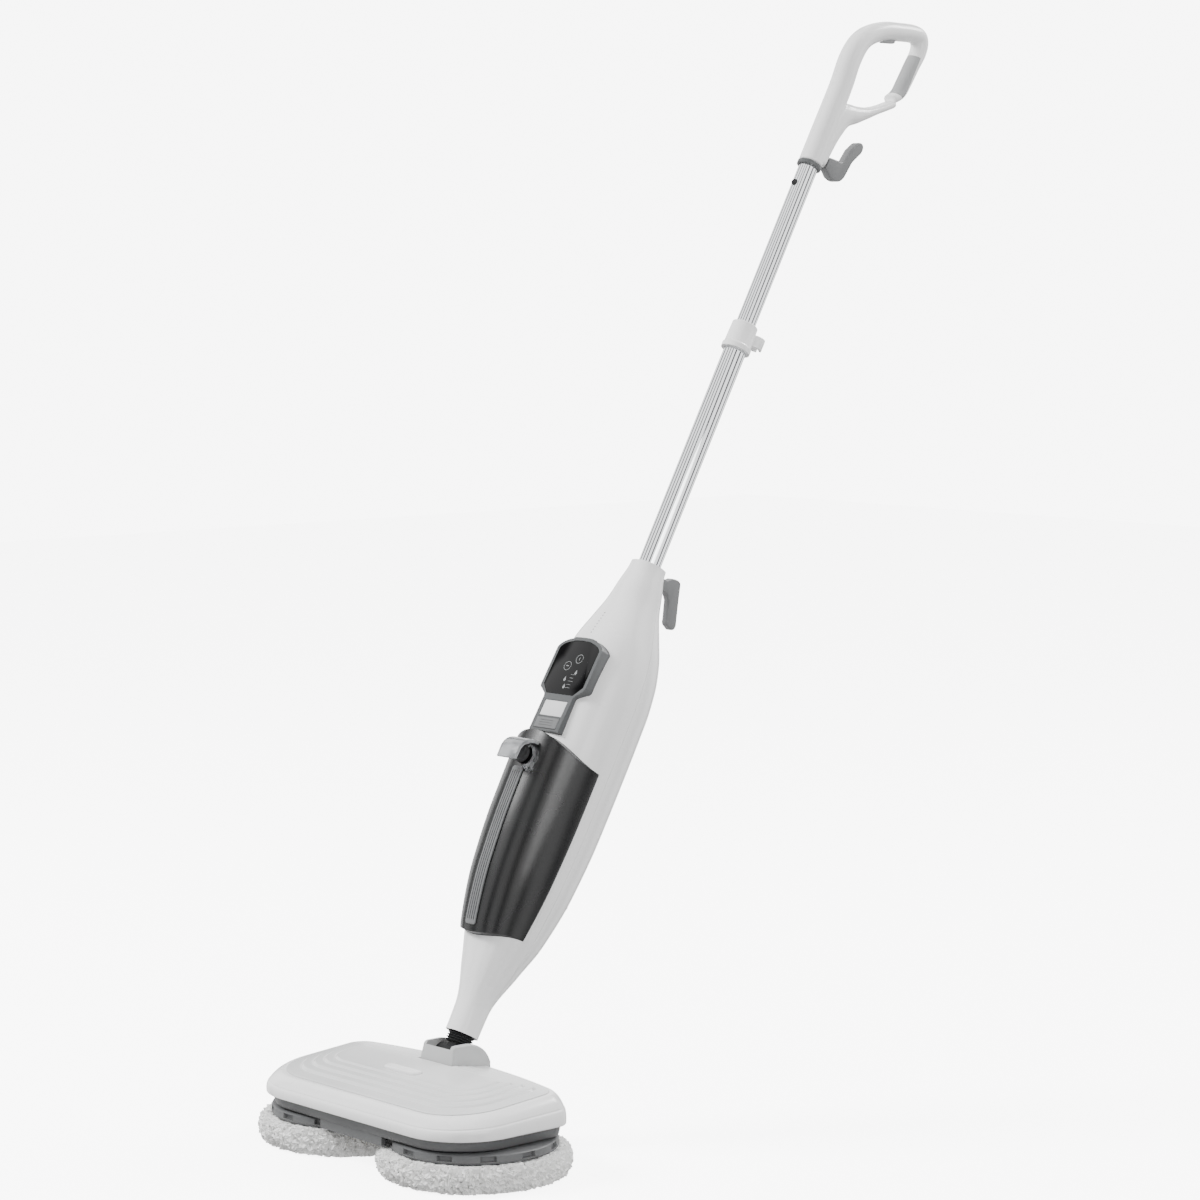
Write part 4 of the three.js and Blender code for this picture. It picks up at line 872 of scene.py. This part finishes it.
def ring_mark(x, z, radius, width):
    for k in range(40):
        a, b = 2 * math.pi * k / 40, 2 * math.pi * (k + 1) / 40
        ink(
            [
                (x + r * math.cos(t), z + r * math.sin(t))
                for r, t in ((radius, a), (radius, b), (radius - width, b), (radius - width, a))
            ]
        )


ring_mark(6, 379, 4.6, 0.4)
ring_mark(-6, 371, 4.6, 0.4)
ink([(5.7, 377.5), (6.3, 377.5), (6.3, 380.5), (5.7, 380.5)])
ink([(-7.8, 370.6), (-4.2, 370.6), (-4.2, 371.4), (-7.8, 371.4)])
for x, z in ((9, 364.5), (-2, 357), (1, 349.5)):
    drop = [
        (x + 1.5 * math.cos(t), z + 1.5 * math.sin(t)) for t in [math.pi * (1 + k / 10) for k in range(11)]
    ]
    ink(drop + [(x, z + 3.4)])
for k in range(5):
    low, high = 362.5 - 3.4 * k, 362.8 - 3.4 * k
    ink([(3.5, low), (9.5 - 1.2 * (k % 2), low), (9.5 - 1.2 * (k % 2), high), (3.5, high)])
points, faces = [], []
for shape in drawn:
    start = len(points)
    for depth in (0.02, 0.14):
        for x, z in shape:
            points.append((x, -BEZEL_FRONT + BEZEL_SLOPE * (z - PANEL_BOTTOM) + depth, z))
    n = len(shape)
    faces += [tuple(range(start, start + n)), tuple(range(start + 2 * n - 1, start + n - 1, -1))]
    faces += [(start + i, start + (i + 1) % n, start + n + (i + 1) % n, start + n + i) for i in range(n)]
marks = solid("panel_symbols", points, faces)
fit(marks, STICK, "body", print_white)


def row_tree(name, finish, sizes):
    """Copies of one small shape set along a straight line."""
    tree = bpy.data.node_groups.new(name, "GeometryNodeTree")
    face = tree.interface
    face.new_socket("Shape", in_out="INPUT", socket_type="NodeSocketGeometry")
    for key, kind, value in sizes:
        face.new_socket(key, in_out="INPUT", socket_type=kind).default_value = value
    face.new_socket("Row", in_out="OUTPUT", socket_type="NodeSocketGeometry")
    given = add(tree, "NodeGroupInput")
    result = add(tree, "NodeGroupOutput")
    line = add(
        tree, "GeometryNodeMeshLine",
        {
            "Count": given.outputs["Count"], "Start Location": given.outputs["First"],
            "Offset": given.outputs["Step"]
        },
        mode="OFFSET"
    )
    copies = add(
        tree, "GeometryNodeInstanceOnPoints", {"Points": line.outputs[0], "Instance": given.outputs[0]}
    )
    loose = add(tree, "GeometryNodeRealizeInstances", {0: copies.outputs[0]})
    dyed = add(tree, "GeometryNodeSetMaterial", {"Geometry": loose.outputs[0], "Material": finish})
    tree.links.new(dyed.outputs[0], result.inputs[0])
    return tree


def in_a_row(made, tree, **values):
    copies = made.modifiers.new("row", "NODES")
    copies.node_group = tree
    for item in tree.interface.items_tree:
        if item.in_out == "INPUT" and item.name in values:
            copies[item.identifier] = values[item.name]
    return settle(made)


sizes = [
    ("Count", "NodeSocketInt", 3), ("First", "NodeSocketVector", (0, 0, 0)),
    ("Step", "NodeSocketVector", (1, 0, 0))
]
# The vents are not cut: small polished black discs sit flush on the front shell above the panel, as painted
# shade standing for the vent holes.
dots = row_tree("painted_vent_shade", gloss_black, sizes)
dot = peg("painted_vent_shade_above_panel", 0.55, -0.12, 0.12, 0, 0, sides=16)
in_a_row(dot, dots, Count=8, First=(0.0, -38.0, 409.0), Step=(0.0, 1.08, 3.3))
for vertex in dot.data.vertices:
    ring = body_ring(vertex.co.z, 0, SHELL_FRONT)
    vertex.co.y = min(y for _, y, _ in ring) - 0.1 + (vertex.co.y % 0.1)
fit(dot, STICK, "body", gloss_black)

hook_low = outline(
    (15, 491.5), (25, 491.5), (30, 496), (
        42, 500.5, 43.5, 494
    ), (48.5, 480), (56.5, 459), (57, 453, 52, 452.5),
    (47, 454), (43.5, 455, 43, 459), (36, 476), (31, 480.5), (15, 480.5),
)
fit(
    soften(slab("lower_hook", hook_low, -4, 4, "side"), 1.2, 3, 40), STICK, "body", hook_grey,
    ["lower_cord_hook"]
)
gland = rear_at(GLAND_HEIGHT)
collar = peg("cord_entry", 6, gland - 6.5, gland + 1.5, 0, GLAND_HEIGHT, 0.8)
join(collar, peg("hole", 3.2, gland - 3, gland + 5, 0, GLAND_HEIGHT))
fit(collar, STICK, "body", black_rubber, ["cord_gland"])

# ---------------------------------------------------------------- tank
tank = body_loft("tank_shell", 0, TANK_FRONT)
join(tank, slab("outline", tank_outline(0), -90, TANK_BACK), "INTERSECT")
soften(tank, 1.2, 3, 55)
cavity = body_loft("cavity", TANK_WALL, TANK_FRONT)
join(cavity, slab("outline", tank_outline(-TANK_WALL), -90, TANK_BACK - TANK_WALL), "INTERSECT")
join(tank, cavity)
join(tank, peg("filler", 6.5, -TANK_FRONT - 10, -TANK_FRONT + 10, 0, FILLER_HEIGHT))
join(tank, valve_bore(5.3, TANK_BACK - 4, TANK_BACK + 4))
fit(tank, STICK, "tank", smoky, ["water_tank"], 40)

strip = body_loft("strip", -1.7, TANK_FRONT)
join(strip, body_loft("inner", -GAP, TANK_FRONT))
join(strip, slab("window", oblong(6.6, TANK_BOTTOM + 6, FILLER_HEIGHT - 12, 2.5), -80, -20), "INTERSECT")
strip.name = "grip_strip"
groove_tree = row_tree("strip_grooves", hook_grey, sizes)
groove = box("grooves", (-0.55, -90, TANK_BOTTOM + 10), (0.55, -20, FILLER_HEIGHT - 16))
in_a_row(groove, groove_tree, Count=4, First=(-4.2, 0.0, 0.0), Step=(2.8, 0.0, 0.0))
join(groove, body_loft("shallow", -0.7, TANK_FRONT))
join(strip, groove)
fit(strip, STICK, "tank", hook_grey, ["tank_strip"], 40)

lip_side = outline(
    (-50, LIP_HEIGHT), (-50, LIP_HEIGHT - 3), (-61, LIP_HEIGHT - 4), (
        -71, LIP_HEIGHT - 8, -72.5, LIP_HEIGHT - 16
    ),
    (-73, LIP_HEIGHT - 26), (-75.5, LIP_HEIGHT - 26), (-75.5, LIP_HEIGHT - 15), (
        -74, LIP_HEIGHT - 4, -62, LIP_HEIGHT - 1
    ),
)
lip = soften(slab("finger_lip", lip_side, -13, 13, "side"), 0.7, 3, 40)
join(lip, body_loft("clear", -GAP, TANK_FRONT))
fit(lip, STICK, "tank", lip_smoke, ["tank_lip"])
cap = peg("filler_cap", 8.5, -TANK_FRONT - 3.4, -TANK_FRONT - 1, 0, FILLER_HEIGHT, 0.6)
join(cap, peg("plug", 6.2, -TANK_FRONT - 2, -TANK_FRONT + 4, 0, FILLER_HEIGHT), "UNION")
fit(cap, STICK, "tank", black_rubber, ["tank_cap"])

# ---------------------------------------------------------------- pole
for name, radius, (low, high), node_name, body in (
    ("lower_pole_tube", TUBE_RADIUS, LOWER_TUBE, "lower_tube", "body"),
    ("upper_pole_tube", UPPER_RADIUS, UPPER_TUBE, "upper_tube", "upper_pole"),
):
    tube = rod(name, radius, low, high, sides=128, edge=0.3)
    join(tube, rod("bore", radius - TUBE_WALL, low - 5, high + 5, sides=128))
    if body == "upper_pole":
        join(tube, peg("snap_hole", 3.3, -UPPER_RADIUS - 6, -UPPER_RADIUS + 6, 0, SNAP_HEIGHT))
    fit(tube, STICK, body, chrome, [node_name])
fit(
    peg("snap_pin", 3, -UPPER_RADIUS - 2, -UPPER_RADIUS + 4, 0, SNAP_HEIGHT, 1.0), STICK, "snap",
    black_rubber, ["snap_button"]
)

collar_side = outline(
    (9.8, 724), (14, 724), (14.5, 724, 14.5, 724.6), (14.5, 728.6), (14.5, 729, 14.1, 729.3), (13.3, 731),
    (12.8, 751), (12.7, 752, 12, 752), (9.8, 752)
)
collar = turned("pole_sleeve", collar_side)
join(collar, rod("bore", 11.3, 720, 739.3))
join(collar, rod("bore", 9.8, 700, 800))
fit(collar, STICK, "body", white_abs, ["pole_collar"])
CLIP_SETBACK = 21.5
clip = rod("pole_clip", 7.5, 737, 749, (0, CLIP_SETBACK), 96, edge=0.8)
join(clip, rod("bore", 4.8, 730, 760, (0, CLIP_SETBACK), 96))
join(clip, box("mouth", (-3, 23.5, 730), (3, 33.5, 760)))
join(clip, box("foot", (-3, 12, 739), (3, 16, 747)), "UNION")
join(clip, rod("clear", 13.8, 720, 770, sides=96))
fit(clip, STICK, "body", white_abs, ["cord_clip"])

# ---------------------------------------------------------------- handle
TOP_BAR, GRIP_SETBACK, GRIP_FOOT, HOOK_HEIGHT = 1113, 76, 1038, 941
HALF_SPLIT = 0.12  # each half stands this far off the middle
grip_from, grip_to = GRIP_FOOT + 10, TOP_BAR - 19
loop = bar(
    "loop",
    [
        (0, HANDLE_BOTTOM), (
            0, HANDLE_BOTTOM + 38
        ), (0, HANDLE_BOTTOM + 85), (-2, TOP_BAR - 68), (1, TOP_BAR - 47), (10, TOP_BAR - 32),
        (26, TOP_BAR - 18), (44, TOP_BAR - 8), (60, TOP_BAR), (
            GRIP_SETBACK - 6, TOP_BAR + 2
        ), (GRIP_SETBACK, TOP_BAR - 3),
        (GRIP_SETBACK + 2, TOP_BAR - 13), (
            GRIP_SETBACK + 0.5, TOP_BAR - 28
        ), (GRIP_SETBACK - 1, GRIP_FOOT + 28),
        (GRIP_SETBACK - 3, GRIP_FOOT + 14), (GRIP_SETBACK - 10, GRIP_FOOT + 3),
    ],
    [(0, 11.8), (0.2, 11.7), (0.3, 10.5), (0.4, 9.5), (0.6, 9), (0.7, 7.8), (0.9, 7.5), (1, 5.5)],
    [(0, 11.8), (0.3, 11), (0.6, 10), (1, 8.5)],
    160, 40,
)
strut = bar(
    "strut",
    [
        (GRIP_SETBACK - 6, GRIP_FOOT), (
            GRIP_SETBACK - 20, GRIP_FOOT - 14
        ), (GRIP_SETBACK - 34, GRIP_FOOT - 27), (30, GRIP_FOOT - 36),
        (16, GRIP_FOOT - 46), (9, GRIP_FOOT - 66), (6, GRIP_FOOT - 84), (4.5, HANDLE_BOTTOM + 5),
    ],
    [(0, 4.5), (0.14, 4.5), (0.28, 6), (0.43, 9), (0.57, 12), (0.71, 12), (0.86, 12), (1, 11.5)],
    [(0, 8), (0.6, 10.5), (1, 11)],
    90, 40,
)
bm = bmesh.new()
bm.from_mesh(loop.data)
bm.from_mesh(strut.data)
bm.to_mesh(loop.data)
bm.free()
bpy.data.objects.remove(strut)
melt = loop.modifiers.new("melt", "REMESH")
melt.mode, melt.voxel_size = "VOXEL", 0.9
settle(loop)
ease = loop.modifiers.new("ease", "SMOOTH")
ease.factor, ease.iterations = 0.5, 14
settle(loop)
grip = twin(loop, "soft_grip_insert")
join(grip, box("slice", (-20, GRIP_SETBACK - 20, grip_from), (20, GRIP_SETBACK, grip_to)), "INTERSECT")
fit(grip, STICK, "upper_pole", grip_grey, ["grip_insert"])


def trigger_block(name, grow, lift):
    made = box(name, (-4 - grow, -9 - grow, -4.5 - grow), (4 + grow, 9 + grow, 4.5 + grow + lift))
    made.data.transform(
        Matrix.Translation((0, 33, TOP_BAR - 22.5)) @ Matrix.Rotation(math.radians(28), 4, "X")
    )
    return made


join(loop, rod("bore", UPPER_RADIUS + GAP, HANDLE_BOTTOM - 5, HANDLE_BOTTOM + 50, sides=128))
join(loop, box("slice", (-20, GRIP_SETBACK - 20, grip_from - GAP), (20, GRIP_SETBACK + GAP, grip_to + GAP)))
join(loop, trigger_block("pocket", 0.5, 5))
join(loop, peg("boss", 4.3, 8, 20, 0, HOOK_HEIGHT))
for name, side in (("left", -1), ("right", 1)):
    half = twin(loop, f"handle_{name}_half")
    low, high = (HALF_SPLIT, 30) if side > 0 else (-30, -HALF_SPLIT)
    join(half, box("side", (low, -60, HANDLE_BOTTOM - 20), (high, 140, TOP_BAR + 40)), "INTERSECT")
    fit(half, STICK, "upper_pole", white_abs, [f"handle_{name}_shell"], 50)
bpy.data.objects.remove(loop)
fit(
    soften(trigger_block("trigger_blade", 0, 0), 2.2, 5, 40), STICK, "trigger", grip_grey,
    ["steam_trigger"]
)
ferrule = rod("handle_ring", 12.2, HANDLE_BOTTOM - 4.3, HANDLE_BOTTOM - 0.3, sides=128, edge=0.5)
join(ferrule, rod("bore", UPPER_RADIUS + GAP, HANDLE_BOTTOM - 10, HANDLE_BOTTOM + 5, sides=128))
fit(ferrule, STICK, "upper_pole", bezel_grey, ["handle_ferrule"])
z = HOOK_HEIGHT
hook_high = outline(
    (17.5, z - 6), (27, z - 11), (43, z - 13, 45, z + 2), (47, z + 17), (53.5, z + 31), (
        55, z + 38, 51, z + 40
    ), (47, z + 41, 44, z + 37),
    (39, z + 27), (37, z + 14), (35, z + 9, 29, z + 9), (17.5, z + 6),
)
hook = soften(slab("upper_hook", hook_high, -5, 5, "side"), 1.4, 4, 40)
join(hook, peg("hole", 2.3, 10, 24, 0, HOOK_HEIGHT))
fit(hook, STICK, "hook", hook_grey, ["upper_cord_hook"])

# ---------------------------------------------------------------- inside pieces keep their frame shapes
kept = {
    steel: [
        "tilt_pin", "roll_pin", "drive_motor", "worm_shaft", "left_drive_shaft", "right_drive_shaft",
        "thermostat", "hook_screw", "left_ballast_plate", "right_ballast_plate",
    ],
    brass: ["steam_nozzle", "left_shaft_bush", "right_shaft_bush"],
    nylon: ["left_worm_wheel", "right_worm_wheel", "steam_pipe", "tank_valve", "suction_tube"],
    aluminium: ["boiler"],
    board_green: ["control_board"],
    mid_grey: ["pump"],
    black_rubber: ["tank_socket", "neck_yoke"],
}
for finish, names in kept.items():
    for name in names:
        if name in frame["nodes"]:
            frame["nodes"][name].data.materials.clear()
            frame["nodes"][name].data.materials.append(finish)

# ---------------------------------------------------------------- studio
paper = bpy.data.materials.new("white_paper_floor")
paper.use_nodes = True
sheet = paper.node_tree.nodes["Principled BSDF"]
sheet.inputs["Base Color"].default_value = tint("#fbfbfb")
sheet.inputs["Roughness"].default_value = 0.9
REACH, SINK = 6, -0.0006  # in metres
floor = solid(
    "floor", [(x * REACH, y * REACH, SINK) for x, y in ((-1, -1), (1, -1), (1, 1), (-1, 1))], [(0, 1, 2, 3)]
)
floor.data.materials.append(paper)
if floor.data.polygons[0].normal.z < 0:
    floor.data.flip_normals()
# The paper glows a little so that it runs into the white behind it, without lighting the mop.
sheet.inputs["Emission Color"].default_value = tint("#fdfdfd")
sheet.inputs["Emission Strength"].default_value = 6.4
floor.visible_diffuse = floor.visible_glossy = floor.visible_transmission = False
floor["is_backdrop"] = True

# The studio is white to the eye, and lit from above. Bright and dark upright panels stand all
# round it, which only the gloss picks up: they give the chrome and the white plastic their lines.
world = bpy.data.worlds.new("studio")
scene.world = world
world.use_nodes = True
room = world.node_tree
sky = room.nodes["Background"]
toward = add(room, "ShaderNodeTexCoord").outputs["Generated"]
split = add(room, "ShaderNodeSeparateXYZ", {0: toward})
compass = add(room, "ShaderNodeMath", {0: split.outputs["Y"], 1: split.outputs["X"]}, operation="ARCTAN2")
turns = add(room, "ShaderNodeMath", {0: compass.outputs[0], 1: 9.0}, operation="MULTIPLY")
stripes = add(room, "ShaderNodeMath", {0: turns.outputs[0]}, operation="SINE")
panels = add(
    room, "ShaderNodeMapRange",
    {"Value": stripes.outputs[0], "From Min": -0.75, "From Max": -0.2, "To Min": 0.12, "To Max": 2.2}
)
overhead = add(
    room, "ShaderNodeMapRange",
    {"Value": split.outputs["Z"], "From Min": -0.2, "From Max": 1.0, "To Min": 0.6, "To Max": 1.2}
)
ray = add(room, "ShaderNodeLightPath")
gloss = add(
    room, "ShaderNodeMix", {0: ray.outputs["Is Glossy Ray"], 2: overhead.outputs[0], 3: panels.outputs[0]},
    data_type="FLOAT"
)
seen = add(
    room, "ShaderNodeMix", {0: ray.outputs["Is Camera Ray"], 2: gloss.outputs[0], 3: 8.0}, data_type="FLOAT"
)
room.links.new(seen.outputs[0], sky.inputs["Strength"])
sky.inputs["Color"].default_value = tint("#fcfcfc")


def softbox(name, place, size, power):
    data = bpy.data.lights.new(name, "AREA")
    data.shape, data.size, data.energy = "DISK", size, power
    made = bpy.data.objects.new(name, data)
    scene.collection.objects.link(made)
    made.location = place
    made.rotation_euler = (looked_at - made.location).to_track_quat("-Z", "Y").to_euler()
    return made


key = softbox("key", (-1.8, -2.0, 2.6), 1.2, 185)
key.visible_glossy = False
softbox("fill", (2.8, -0.8, 1.4), 1.6, 36)
softbox("rim", (0.8, 2.4, 2.6), 1.2, 90)

low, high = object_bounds()
